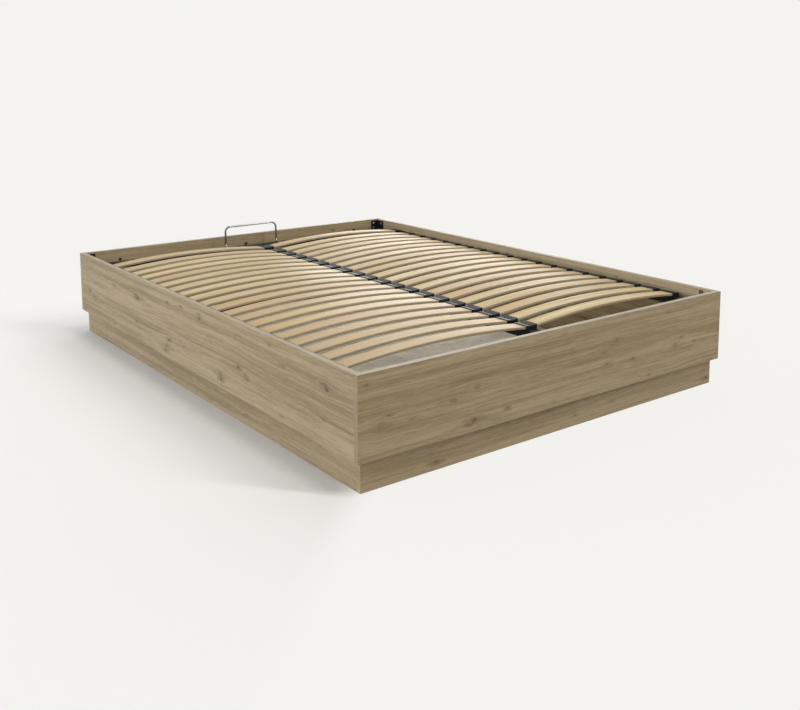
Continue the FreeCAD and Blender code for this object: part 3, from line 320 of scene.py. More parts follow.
def light_world():
    world = bpy.data.worlds.new("studio_world")
    world.use_nodes = True
    tree = world.node_tree
    tree.nodes.clear()
    way = add_node(tree, "ShaderNodeTexCoord").outputs["Generated"]
    right_part, back_part, up_part = parts_of(tree, way)
    left = maths(tree, "MULTIPLY", ranged(tree, right_part, *LEFTWARD), ranged(tree, up_part, *LOW))
    left = maths(tree, "MULTIPLY", left, ranged(tree, back_part, *REAR, *WORLD_LEFT))
    right = ranged(tree, right_part, *WIDE, 0.0, WORLD_RIGHT)
    right = maths(tree, "MULTIPLY", right, ranged(tree, back_part, *REAR))
    back = ranged(tree, back_part, *WIDE, 0.0, WORLD_BACK)
    top = ranged(tree, up_part, *OVERHEAD, 0.0, WORLD_TOP)
    level = folded(tree, "ADD", (left, back, right, top))
    fill = add_node(tree, "ShaderNodeBackground", {"Color": FILL_COLOUR, "Strength": level})
    pale = add_node(tree, "ShaderNodeBackground", {"Color": BACKDROP, "Strength": 1.0})
    seen = add_node(tree, "ShaderNodeMixShader", {"Fac": mirror_or_camera(tree), 1: fill, 2: pale})
    add_node(tree, "ShaderNodeOutputWorld", {"Surface": seen})
    bpy.context.scene.world = world


light_world()
bpy.context.scene.view_settings.view_transform = "Standard"
print("world lit")

# %% [markdown]
# ## Reading the frame
# Many nodes hold several separate solids, such as all screws of one kind. Splitting a copy of the
# node's mesh into its loose parts gives the box and the points of each solid, so places come from the
# model itself.

# %% Split a node into its solids
MERGE_GAP = 0.001 * MM


def merge(solid):
    """Join points that lie on one another, as those of loose triangles do."""
    bmesh.ops.remove_doubles(solid, verts=solid.verts, dist=MERGE_GAP)


def solids_of(node):
    """Each separate solid of a CAD node, merged, as a bmesh of its own, from the foot to the head."""
    whole = bmesh.new()
    whole.from_mesh(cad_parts[node].data)
    merge(whole)
    whole.verts.index_update()
    whole.faces.index_update()
    left = set(whole.verts)
    solids = []
    while left:
        group = {left.pop()}
        edge = list(group)
        while edge:
            near = {link.other_vert(vert) for vert in edge for link in vert.link_edges} - group
            group |= near
            edge = list(near)
        left -= group
        solid = bmesh.new()
        twins = {vert: solid.verts.new(vert.co) for vert in sorted(group, key=lambda vert: vert.index)}
        faces = {face for vert in group for face in vert.link_faces}
        for face in sorted(faces, key=lambda face: face.index):
            solid.faces.new([twins[vert] for vert in face.verts])
        solids.append(solid)
    whole.free()
    return sorted(solids, key=lambda solid: [round(part, 4) for part in corners_of(solid)[0].yxz])


def corners_of(solid):
    points = np.array([vert.co for vert in solid.verts])
    return Vector(points.min(0)), Vector(points.max(0))


def boxes_of(node):
    """The lowest and highest corner of each solid of a node."""
    return [corners_of(solid) for solid in solids_of(node)]


print("slats on one side:", len(boxes_of("left_slats")))

# %% [markdown]
# ## Making pieces
# A board is a box with its corners eased by a fine bevel. A turned part is a profile carried round an
# axis. Every piece ends in the same way: it rides on its body, takes its material and hides what it
# replaces. A large flat face next to a narrow bevel shades as if it were a pillow. A Weighted Normal
# modifier lets the larger face decide, so flat boards look flat and only their edges turn.

# %% Mesh and piece helpers
SMOOTH_ANGLE = math.radians(32)


def smooth(mesh):
    """Shade a mesh smooth, apart from the edges that turn sharply."""
    mesh.shade_smooth()
    mesh.set_sharp_from_angle(angle=SMOOTH_ANGLE)


def mesh_from(solid, name):
    """A plain mesh with its normals turned outwards, smooth over small angles."""
    bmesh.ops.recalc_face_normals(solid, faces=solid.faces)
    mesh = bpy.data.meshes.new(name)
    solid.to_mesh(mesh)
    solid.free()
    smooth(mesh)
    return mesh


def baked(piece):
    """Turn what the modifiers make into the piece's own plain mesh."""
    seen = piece.evaluated_get(bpy.context.evaluated_depsgraph_get())
    mesh = bpy.data.meshes.new_from_object(seen)
    piece.modifiers.clear()
    piece.data = mesh


def settle(piece, body, material, node):
    """Finish a piece: shading, material, body, and the CAD node that it stands for."""
    by_area = piece.modifiers.new("by_area", "WEIGHTED_NORMAL")
    by_area.keep_sharp = True
    baked(piece)
    if material is not None:
        piece.data.materials.clear()
        piece.data.materials.append(material)
    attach(piece, body)
    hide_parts(node)
    triangles = sum(len(face.vertices) - 2 for face in piece.data.polygons)
    print(f"{piece.name}: {triangles} triangles")


print("pieces are smooth up to", round(math.degrees(SMOOTH_ANGLE)), "degrees")

# %% Boxes and turned shapes
EASE_STEPS = 2
ROUND = 0.5


def ease_edges(solid, edges, ease, clamp_overlap=False):
    """Round edges off; the clamp keeps the rounds of short edges from crossing."""
    shape = {"offset": ease, "segments": EASE_STEPS, "profile": ROUND, "affect": "EDGES"}
    bmesh.ops.bevel(solid, geom=edges, clamp_overlap=clamp_overlap, **shape)


def add_box(solid, low, high, ease=0.0):
    """Add a box between two corners to a bmesh, with eased edges."""
    made = bmesh.ops.create_cube(solid, size=1.0)["verts"]
    middle = (low + high) / 2
    reach = high - low
    for vert in made:
        vert.co = middle + Vector(part * whole for part, whole in zip(vert.co, reach))
    if ease:
        edges = list({edge for vert in made for edge in vert.link_edges})
        ease_edges(solid, edges, ease)


def boxed(name, boxes, ease):
    """One mesh of eased boxes."""
    solid = bmesh.new()
    for low, high in boxes:
        add_box(solid, low, high, ease)
    return mesh_from(solid, name)


def add_turned(solid, profile, foot, way, sides):
    """Carry a profile of (distance along, radius) round an axis that starts at foot."""
    turn = Vector((0, 0, 1)).rotation_difference(way.normalized()).to_matrix()
    rings = []
    for along, radius in profile:
        if radius == 0:
            rings.append([solid.verts.new(foot + turn @ Vector((0, 0, along)))])
            continue
        ring = []
        for side in range(sides):
            angle = 2 * math.pi * side / sides
            spoke = Vector((radius * math.cos(angle), radius * math.sin(angle), along))
            ring.append(solid.verts.new(foot + turn @ spoke))
        rings.append(ring)
    for lower, upper in zip(rings, rings[1:]):
        for side in range(sides):
            after = (side + 1) % sides
            loop = [lower[side % len(lower)], lower[after % len(lower)]]
            loop += [upper[after % len(upper)], upper[side % len(upper)]]
            corners = list(dict.fromkeys(loop))
            if len(corners) > 2:
                solid.faces.new(corners)


print("eased edges have", EASE_STEPS, "steps")

# %% Eased copies of the model's own solids
FLAT_ANGLE = math.radians(1)
SHARP_ANGLE = math.radians(30)


def eased(name, solid, ease):
    """Flatten a solid's triangles to whole faces and ease the edges that turn sharply."""
    bmesh.ops.dissolve_limit(solid, angle_limit=FLAT_ANGLE, verts=solid.verts, edges=solid.edges)
    sharp = [edge for edge in solid.edges if edge.calc_face_angle(0) > SHARP_ANGLE]
    ease_edges(solid, sharp, ease, clamp_overlap=True)
    return mesh_from(solid, name)


def softened(node, ease):
    """A merged copy of a CAD node with its hard edges eased, for plates and other flat work."""
    solid = bmesh.new()
    solid.from_mesh(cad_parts[node].data)
    merge(solid)
    return eased(node, solid, ease)


print("edges over", round(math.degrees(SHARP_ANGLE)), "degrees are eased")

# %% [markdown]
# ## Oak decor
# The boards wear a printed oak decor: straight fine grain, soft darker streaks, small knots with a
# halo, and grain lines that flow round the knots. An image would be the usual way. Here noise that is
# stretched along the board gives the grain, and a short list of knots bends it, so the pattern is sharp
# at any distance.

# %% Marks in the decor
GRAIN_REACH = 3.2
GRAIN_SPREAD = 8 * MM
GRAIN_BEND = 1.5
CORE_EDGE = (0.1, 1.2)
SMUDGE_EDGE = (0.0, 1.4)
SMUDGE_RISE = 1.7
SMUDGE_DEPTH = 0.8
STREAK_EDGE = (0.1, 1.0)


def in_metres(marks):
    """Marks with their lengths in metres; the last number of a mark is its depth."""
    return [[*(length * MM for length in lengths), depth] for *lengths, depth in marks]


def wrapped_gap(tree, along, place, repeat):
    """Distance along the board from a mark, which comes back with every repeat of the print."""
    return maths(tree, "WRAP", maths(tree, "SUBTRACT", along, place), repeat / 2, -repeat / 2)


def squared(tree, gap, reach):
    part = maths(tree, "DIVIDE", gap, reach)
    return maths(tree, "MULTIPLY", part, part)


def knot_marks(tree, along, up, repeat, knots):
    """Bend of the grain, smudge and core of all knots; a knot is its place, two reaches and its depth."""
    bends, smudges, cores = [], [], []
    for place, height, wide, tall, depth in in_metres(knots):
        aside = wrapped_gap(tree, along, place, repeat)
        above = maths(tree, "SUBTRACT", up, height)
        core = maths(tree, "ADD", squared(tree, aside, wide), squared(tree, above, tall))
        cores.append(ranged(tree, core, *CORE_EDGE, depth, 0.0))
        broad = squared(tree, aside, GRAIN_REACH * wide + GRAIN_SPREAD)
        far = maths(tree, "ADD", broad, squared(tree, above, SMUDGE_RISE * tall))
        smudges.append(ranged(tree, far, *SMUDGE_EDGE, SMUDGE_DEPTH * depth, 0.0))
        near = maths(tree, "DIVIDE", 1.0, maths(tree, "ADD", maths(tree, "ADD", far, core), 1.0))
        bends.append(maths(tree, "MULTIPLY", maths(tree, "MULTIPLY", above, near), GRAIN_BEND))
    bend = folded(tree, "ADD", bends)
    return bend, folded(tree, "MAXIMUM", smudges), folded(tree, "MAXIMUM", cores)


def streak_marks(tree, along, up, repeat, streaks):
    """Long thin dark lines; a streak is its middle, height, half length, half thickness and depth."""
    marks = []
    for place, height, half, thin, depth in in_metres(streaks):
        ends = squared(tree, wrapped_gap(tree, along, place, repeat), half)
        side = squared(tree, maths(tree, "SUBTRACT", up, height), thin)
        marks.append(ranged(tree, maths(tree, "ADD", ends, side), *STREAK_EDGE, depth, 0.0))
    return folded(tree, "MAXIMUM", marks)


print("grain bends round a knot over", GRAIN_REACH, "times its size")

# %% Oak decor material
OAK_LIGHT = paint(196, 176, 141)
OAK_DARK = paint(155, 135, 100)
OAK_STREAK = paint(124, 107, 84)
OAK_KNOT = paint(92, 72, 52)
OAK_SMUDGE = paint(139, 120, 91)
# How often each noise changes in a metre: along the board, up, and into it
RAGGED = (55.0, 90.0, 55.0)
DRIFT = (1.3, 4.0, 0.6)
BANDS = (0.7, 30.0, 2.0)
LINES = (3.5, 260.0, 3.0)
DASHES = (30.0, 620.0, 9.0)
RAGGED_BY = 16 * MM
GRAIN_SPAN = (0.4, 0.6)
DASH_FADE = (0.36, 0.22, 0.0, 0.4)
STREAK_BREAK = (0.3, 0.6, 0.45, 1.0)
STREAK_WAVE = 0.25
DASH_RELIEF = 0.6
OAK_ROUGH = (0.62, 0.52)
OAK_RELIEF = 0.08 * MM
SWAY_BY = 24 * MM


def oak_decor(name, along, decor):
    """Oak decor with its grain along X (0) or Y (1) of the board."""
    material, tree = new_material(name)
    repeat = decor["repeat"] * MM
    parts = parts_of(tree, own_place(tree))
    length = parts[along]
    depth = maths(tree, "ADD", parts[1 - along], 0.0)
    depth.name = "cut"
    up = parts["Z"]
    plain = add_node(tree, "ShaderNodeCombineXYZ", {"X": length, "Y": up, "Z": depth})
    rough = noise(tree, plain, RAGGED, roughness=0.65)
    shift = maths(tree, "MULTIPLY", maths(tree, "SUBTRACT", rough, 0.5), RAGGED_BY)
    ragged_length = maths(tree, "ADD", length, shift)
    ragged_up = maths(tree, "SUBTRACT", up, shift)
    bend, smudge, core = knot_marks(tree, ragged_length, ragged_up, repeat, decor["knots"])
    drift = noise(tree, plain, DRIFT, detail=2.0)
    sway = maths(tree, "MULTIPLY", maths(tree, "SUBTRACT", drift, 0.5), SWAY_BY)
    flow = maths(tree, "SUBTRACT", maths(tree, "ADD", up, sway), bend)
    waved = maths(tree, "ADD", up, maths(tree, "MULTIPLY", shift, STREAK_WAVE))
    streak = streak_marks(tree, length, waved, repeat, decor["streaks"])
    place = add_node(tree, "ShaderNodeCombineXYZ", {"X": length, "Y": flow, "Z": depth})
    bands = noise(tree, place, BANDS, detail=4.0, roughness=0.6)
    lines = noise(tree, place, LINES, detail=4.0, roughness=0.65)
    dashes = noise(tree, place, DASHES, detail=2.0, roughness=0.6)
    grain = weighed(tree, (bands, 0.4), (lines, 0.36), (dashes, 0.24))
    colour = mixed(tree, ranged(tree, grain, *GRAIN_SPAN), OAK_DARK, OAK_LIGHT)
    colour = mixed(tree, ranged(tree, dashes, *DASH_FADE), colour, OAK_STREAK)
    colour = mixed(tree, smudge, colour, OAK_SMUDGE)
    streak = maths(tree, "MULTIPLY", streak, ranged(tree, lines, *STREAK_BREAK))
    colour = mixed(tree, streak, colour, OAK_STREAK)
    colour = mixed(tree, core, colour, OAK_KNOT)
    relief = maths(tree, "ADD", maths(tree, "MULTIPLY", dashes, DASH_RELIEF), lines)
    surface(tree, colour, ranged(tree, grain, *NOISE_MIDDLE, *OAK_ROUGH), relief, OAK_RELIEF)
    return material


def cut_of(sheet, board, seed):
    """The same decor for a board, cut from another place of the sheet."""
    oak = sheet.copy()
    oak.name = f"oak_{board}"
    oak.node_tree.nodes["cut"].inputs[1].default_value = seed
    return oak


print("oak is drawn from", len((RAGGED, DRIFT, BANDS, LINES, DASHES)), "noises")

# %% Marks of the two prints
# One repeat of the print, on the side boards and on the end boards, with lengths in millimetres.
# Knots: place along, height, reach along, reach up, and depth from 0 to 1.
# Streaks: middle, height, half length, half thickness, and depth from 0 to 1.
SIDE_DECOR = {
    "repeat": 1228,
    "knots": (
        (394, 241, 13, 8, 0.75), (414, 250, 26, 6, 0.45), (615, 247, 6, 5, 0.6), (821, 155, 4, 6, 0.5),
        (686, 288, 3, 3, 0.6), (140, 275, 3, 3, 0.7), (36, 281, 4, 4, 0.8), (-101, 272, 6, 6, 0.75),
        (-99, 283, 5, 6, 0.4), (136, 148, 6, 5, 0.8), (166, 107, 10, 7, 0.6), (150, 126, 18, 10, 0.3),
        (18, 152, 4, 3, 0.6), (411, 154, 3, 4, 0.65), (623, 101, 3, 3, 0.65), (-240, 112, 8, 7, 0.8),
        (-236, 126, 16, 10, 0.35), (-368, 33, 3, 3, 0.6), (488, 259, 10, 3, 0.4),
        (-356, 178, 6, 6, 0.8), (-395, 164, 10, 4, 0.4),
    ),
    "streaks": (
        (336, 157, 185, 4, 0.75), (440, 166, 100, 6, 0.35), (530, 252, 90, 5, 0.35),
        (310, 236, 60, 10, 0.3), (-300, 172, 100, 6, 0.35), (20, 150, 100, 6, 0.3),
        (100, 60, 300, 7, 0.25), (-200, 95, 220, 6, 0.22), (750, 130, 200, 6, 0.22),
    ),
}
END_DECOR = {
    "repeat": 1149,
    "knots": (
        (-630, 192, 6, 3, 0.75), (-423, 185, 16, 8, 0.4), (-349, 116, 14, 9, 0.7),
        (-372, 107, 28, 5, 0.45), (-228, 122, 3, 5, 0.8), (-559, 167, 3, 3, 0.6),
        (-697, 284, 3, 4, 0.6), (-463, 21, 9, 6, 0.65), (-481, 50, 3, 3, 0.6),
        (-340, 206, 18, 10, 0.28), (-655, 168, 14, 14, 0.25), (23, 238, 3, 5, 0.6),
        (174, 169, 8, 5, 0.55), (164, 206, 20, 6, 0.25), (290, 163, 3, 5, 0.75), (-13, 292, 4, 3, 0.4),
        (216, 235, 10, 8, 0.35), (369, 97, 3, 3, 0.6), (-50, 98, 3, 3, 0.4), (60, 30, 6, 3, 0.5),
        (220, 40, 4, 3, 0.4),
    ),
    "streaks": (
        (-360, 232, 120, 10, 0.4), (-480, 200, 120, 5, 0.35), (-300, 112, 100, 10, 0.35),
        (-120, 185, 160, 7, 0.3), (-600, 152, 60, 6, 0.4), (100, 195, 120, 5, 0.3),
        (-200, 30, 200, 8, 0.3), (240, 180, 100, 6, 0.28), (-520, 120, 200, 8, 0.22),
    ),
}
print("oak decor with", len(SIDE_DECOR["knots"]), "and", len(END_DECOR["knots"]), "knots in a repeat")

# %% [markdown]
# ## The box
# Four panels stand on a plinth that is set back under them. They are plain boards, so eased boxes are
# all that they need. The grain runs along each board, and each board has its own cut of the decor.

# %% Panels and plinth boards
BOARD_EASE = 0.5 * MM
BUSH_HOLE = 4.6 * MM
DRILL_REACH = 50 * MM
DRILL_SIDES = 40
CUT_STEP = 3.7


def cut_away(piece, tool):
    """Cut the shape of a tool out of a piece."""
    cutter = piece_from("cutter", tool)
    cut = piece.modifiers.new("cut", "BOOLEAN")
    cut.object = cutter
    cut.operation = "DIFFERENCE"
    cut.solver = "EXACT"
    baked(piece)
    bpy.data.objects.remove(cutter)


def cut_round(piece, places, radius):
    """Drill holes along Y through a board."""
    drill = bmesh.new()
    for place in places:
        foot = Vector((place.x, place.y - DRILL_REACH, place.z))
        profile = ((0, 0), (0, radius), (2 * DRILL_REACH, radius), (2 * DRILL_REACH, 0))
        add_turned(drill, profile, foot, Vector((0, 1, 0)), DRILL_SIDES)
    cut_away(piece, mesh_from(drill, "drill"))


side_boards = ("left_side_panel", "right_side_panel", "left_plinth_board", "right_plinth_board")
end_boards = ("foot_panel", "head_panel", "foot_plinth_board", "head_plinth_board")
side_oak = oak_decor("oak_sides", 1, SIDE_DECOR)
end_oak = oak_decor("oak_ends", 0, END_DECOR)
bush_middles = [(low + high) / 2 for low, high in boxes_of("headboard_bushes")]
for number, board in enumerate(side_boards + end_boards):
    runs_across = board in end_boards
    oak = cut_of(end_oak if runs_across else side_oak, board, number * CUT_STEP)
    dressed = piece_from(f"dressed_{board}", boxed(board, [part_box(board)], BOARD_EASE))
    if board == "head_panel":
        cut_round(dressed, bush_middles, BUSH_HOLE)
    settle(dressed, "base", oak, board)

# %% [markdown]
# ## Edge bands
# Thin bands are glued on the cut edges. The upright ones carry the oak print. The top ones are painted
# in their own colours for light and shade: greyer and paler at the foot and head, as a painted sheen,
# and darker along the sides, as painted shade. Each is a flat strip whose outer corners are scraped
# round, so each is an eased box. One material serves all: a point's height and its place along the bed
# tell which band it lies on.

# %% Edge bands
BAND_LIGHT = paint(175, 157, 124)
BAND_DARK = paint(161, 143, 110)
# Painted light: the top bands are painted greyer than the upright ones, with a painted sheen on the foot
# and head tops and painted shade on the side tops.
END_TOP_SHEEN_PALE = paint(162, 150, 130)
END_TOP_SHEEN_DEEP = paint(150, 137, 116)
SIDE_TOP_SHADE_PALE = paint(158, 142, 113)
SIDE_TOP_SHADE_DEEP = paint(147, 130, 101)
BAND_CLOUD = (9.0, 9.0, 60.0)
BAND_FINE = (60.0, 60.0, 400.0)
BAND_ROUGH = (0.36, 0.5)
BAND_RELIEF = 0.05 * MM
BAND_EASE = 0.4 * MM
RIM_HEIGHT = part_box("edge_bands")[1].z
SIDE_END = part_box("left_side_panel")[1].y


def band_finish():
    material, tree = new_material("edge_band")
    place = own_place(tree)
    parts = parts_of(tree, place)
    at_end = ranged(tree, maths(tree, "ABSOLUTE", parts["Y"]), SIDE_END - BAND_EASE, SIDE_END)
    top = ranged(tree, parts["Z"], RIM_HEIGHT - 2 * BAND_EASE, RIM_HEIGHT - BAND_EASE / 2)
    cloud = noise(tree, place, BAND_CLOUD, detail=4.0)
    fine = noise(tree, place, BAND_FINE, detail=2.0)
    share = ranged(tree, weighed(tree, (cloud, 0.6), (fine, 0.4)), *NOISE_MIDDLE)
    upright = mixed(tree, share, BAND_DARK, BAND_LIGHT)
    # The tops get painted colours for light: painted shade along the sides, painted sheen at the foot and
    # head.
    side_top_shade = mixed(tree, share, SIDE_TOP_SHADE_DEEP, SIDE_TOP_SHADE_PALE)
    painted_top = mixed(tree, at_end, side_top_shade, mixed(tree, share, END_TOP_SHEEN_DEEP, END_TOP_SHEEN_PALE))
    colour = mixed(tree, top, upright, painted_top)
    surface(tree, colour, ranged(tree, fine, *NOISE_SPAN, *BAND_ROUGH), fine, BAND_RELIEF)
    return material


def band_boxes():
    """A band on top of each panel, and one on each show end of the foot and head panels."""
    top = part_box("edge_bands")[1]
    boxes = []
    for panel in ("left_side_panel", "right_side_panel", "foot_panel", "head_panel"):
        low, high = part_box(panel)
        boxes.append((Vector((low.x, low.y, high.z)), Vector((high.x, high.y, top.z))))
        if panel in ("foot_panel", "head_panel"):
            boxes.append((Vector((-top.x, low.y, low.z)), Vector((low.x, high.y, top.z))))
            boxes.append((Vector((high.x, low.y, low.z)), Vector((top.x, high.y, top.z))))
    return boxes


bands = piece_from("dressed_edge_bands", boxed("edge_bands", band_boxes(), BAND_EASE))
settle(bands, "base", band_finish(), "edge_bands")

# %% [markdown]
# ## Storage floor
# The floor boards are thin grey boards with dark flecks, laid on softwood battens. Only strips of them
# show between the slats, so eased boxes are enough. A picture of the flecks would soon repeat. Two
# noises draw them instead: a broad one makes the cloudy grey, and the lowest spots of a fine one become
# flecks.

# %% Floor boards and battens
FLOOR_PALE = paint(248, 243, 228)
FLOOR_GREY = paint(226, 220, 202)
FLECK = paint(62, 58, 52)
FLOOR_CLOUD = (14.0, 30.0, 14.0)
FLOOR_ROUGH = (0.6, 0.75)
FLECK_SPOTS = (95.0, 60.0, 95.0)
FLECK_FADE = (0.33, 0.25, 0.0, 0.85)
PINE_PALE = paint(214, 188, 146)
PINE_DARK = paint(184, 150, 106)
PINE_RINGS = (60.0, 1.2, 60.0)
PINE_FINE = (500.0, 8.0, 500.0)
PINE_ROUGH = (0.6, 0.72)
RAW_RELIEF = 0.1 * MM
BATTEN_EASE = 2 * MM


def fleck_finish():
    material, tree = new_material("floor_board")
    place = own_place(tree)
    cloud = noise(tree, place, FLOOR_CLOUD, detail=5.0, roughness=0.65)
    spots = noise(tree, place, FLECK_SPOTS, detail=2.0)
    colour = mixed(tree, ranged(tree, cloud, *NOISE_MIDDLE), FLOOR_GREY, FLOOR_PALE)
    colour = mixed(tree, ranged(tree, spots, *FLECK_FADE), colour, FLECK)
    surface(tree, colour, ranged(tree, cloud, *NOISE_SPAN, *FLOOR_ROUGH), cloud, RAW_RELIEF)
    return material


def pine_finish():
    material, tree = new_material("softwood")
    place = own_place(tree)
    rings = noise(tree, place, PINE_RINGS)
    fine = noise(tree, place, PINE_FINE, detail=2.0)
    colour = mixed(tree, ranged(tree, rings, *NOISE_MIDDLE), PINE_DARK, PINE_PALE)
    surface(tree, colour, ranged(tree, fine, *NOISE_SPAN, *PINE_ROUGH), fine, RAW_RELIEF)
    return material


flecked = fleck_finish()
pine = pine_finish()
for board in ("left_floor_board", "right_floor_board"):
    laid = piece_from(f"dressed_{board}", boxed(board, [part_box(board)], BOARD_EASE))
    settle(laid, "base", flecked, board)
for batten in ("center_floor_batten", "side_floor_battens"):
    laid = piece_from(f"dressed_{batten}", boxed(batten, boxes_of(batten), BATTEN_EASE))
    settle(laid, "base", pine, batten)

# %% [markdown]
# ## Steel, plastic, rubber and bright metal
# The frame is powder coated, so it is black with a slight orange peel. The caps are moulded and
# glossier. Screws are zinc plated and the retainer is polished. These finishes differ only in colour,
# gloss and grain, so one function makes them all.

# %% Metal and plastic finishes
COAT_BROAD = (7.0, 7.0, 7.0)


def coat_finish(name, dark, light, rough, grain, relief, **sockets):
    """A plain coat with a fine grain in its colour, gloss and surface; the relief is in micrometres."""
    material, tree = new_material(name)
    place = own_place(tree)
    fine = noise(tree, place, (grain, grain, grain))
    broad = noise(tree, place, COAT_BROAD, detail=4.0)
    shade = weighed(tree, (fine, 0.4), (broad, 0.6))
    colour = mixed(tree, ranged(tree, shade, *NOISE_SPAN), paint(*dark), paint(*light))
    roughness = ranged(tree, broad, *NOISE_SPAN, *rough)
    surface(tree, colour, roughness, fine, relief * MM / 1000, **sockets)
    return material


DULL = {"Specular_IOR_Level": 0.3}
DULLER = {"Specular_IOR_Level": 0.25}
METAL = {"Metallic": 1.0}
black_steel = coat_finish("powder_coat", (20, 21, 24), (31, 32, 36), (0.44, 0.54), 900, 40, **DULL)
black_plastic = coat_finish("moulded_black", (22, 24, 28), (31, 34, 39), (0.42, 0.52), 500, 20, **DULLER)
brown_plastic = coat_finish("brown_cap", (96, 70, 54), (112, 84, 66), (0.4, 0.5), 600, 30)
rubber = coat_finish("rubber", (24, 24, 24), (36, 36, 36), (0.75, 0.85), 700, 100)
zinc = coat_finish("zinc_plate", (168, 168, 166), (192, 192, 190), (0.26, 0.4), 400, 20, **METAL)
chrome = coat_finish("chrome_rod", (128, 129, 130), (150, 151, 152), (0.16, 0.24), 300, 10, **METAL)
print("coats ready")

# %% [markdown]
# ## Steel tubes
# The frame is welded from rectangular tube. A tube could be a solid bar, but its open ends would give
# it away, so each is a rounded outline with a wall, drawn from one end to the other.

# %% Tubes
TUBE_WALL = 1.5 * MM
TUBE_CORNER = 3.0 * MM
CORNER_STEPS = 5


def rounded_outline(wide, tall, radius):
    """Points of a rectangle with round corners, counter-clockwise round the middle."""
    points = []
    for corner in range(4):
        flip_x = 1 if corner in (0, 3) else -1
        flip_y = 1 if corner in (0, 1) else -1
        middle = Vector((flip_x * (wide / 2 - radius), flip_y * (tall / 2 - radius)))
        for step in range(CORNER_STEPS + 1):
            angle = math.pi / 2 * (corner + step / CORNER_STEPS)
            points.append(middle + radius * Vector((math.cos(angle), math.sin(angle))))
    return points


def add_tube(solid, low, high, axis):
    """Add an open rectangular tube that fills a box, drawn along X (0) or Y (1)."""
    middle = (low + high) / 2
    reach = high - low
    across = 1 - axis

    def ring(outline, end):
        made = []
        for point in outline:
            place = middle.copy()
            place[axis] = end
            place[across] += point.x
            place.z += point.y
            made.append(solid.verts.new(place))
        return made

    outer = rounded_outline(reach[across], reach.z, TUBE_CORNER)
    inner_wide = reach[across] - 2 * TUBE_WALL
    inner = rounded_outline(inner_wide, reach.z - 2 * TUBE_WALL, TUBE_CORNER - TUBE_WALL)
    near, far = low[axis], high[axis]
    rings = [ring(outer, near), ring(outer, far), ring(inner, far), ring(inner, near)]
    count = len(outer)
    for first, second in zip(rings, rings[1:] + rings[:1]):
        for point in range(count):
            after = (point + 1) % count
            solid.faces.new((first[point], first[after], second[after], second[point]))


lengthwise = ("left_side_rail", "right_side_rail", "center_spine")
crosswise = ("foot_cross_tube", "head_cross_tube", "middle_cross_tubes", "retainer_cross_tubes")
for tube in lengthwise + crosswise:
    section = bmesh.new()
    for tube_low, tube_high in boxes_of(tube):
        add_tube(section, tube_low, tube_high, 1 if tube in lengthwise else 0)
    drawn = piece_from(f"dressed_{tube}", mesh_from(section, tube))
    settle(drawn, "slat_frame", black_steel, tube)

# %% [markdown]
# ## The bowed slats
# Each slat is glued up from thin layers and pressed into a bow. Twenty rows lie on each side, all alike
# apart from the wood. Geometry Nodes fit this well: one arc, one rounded section swept along it, and a
# point for each row that repeats it. Attributes that are stored on the way tell the material where it
# is in the slat.

# %% Geometry tree helpers


def new_tree(name, inputs):
    """A geometry tree with named inputs and one geometry output."""
    tree = bpy.data.node_groups.new(name, "GeometryNodeTree")
    tree.interface.new_socket(name="Geometry", in_out="INPUT", socket_type="NodeSocketGeometry")
    for label, kind in inputs:
        tree.interface.new_socket(name=label, in_out="INPUT", socket_type=f"NodeSocket{kind}")
    tree.interface.new_socket(name="Geometry", in_out="OUTPUT", socket_type="NodeSocketGeometry")
    return tree, add_node(tree, "NodeGroupInput").outputs


def close_tree(tree, geometry, material):
    """End a tree in plain geometry with its material."""
    plain = add_node(tree, "GeometryNodeRealizeInstances", {"Geometry": geometry})
    painted = add_node(tree, "GeometryNodeSetMaterial", {"Geometry": plain, "Material": material})
    add_node(tree, "NodeGroupOutput", {"Geometry": painted})


def stored(tree, geometry, name, value, domain="POINT"):
    inputs = {"Geometry": geometry, "Name": name, "Value": value}
    return add_node(tree, "GeometryNodeStoreNamedAttribute", inputs, data_type="FLOAT", domain=domain)


def run_tree(piece, tree, **values):
    """Put a tree on a piece, set its inputs by identifier, and keep the result as a plain mesh."""
    modifier = piece.modifiers.new(tree.name, "NODES")
    modifier.node_group = tree
    for item in tree.interface.items_tree:
        key = item.name.lower().replace(" ", "_")
        if item.in_out == "INPUT" and key in values:
            modifier[item.identifier] = values[key]
    baked(piece)


print("geometry tree helpers ready")

# %% Slat nodes
BOW_STEPS = 33
EDGE_STEPS = 4


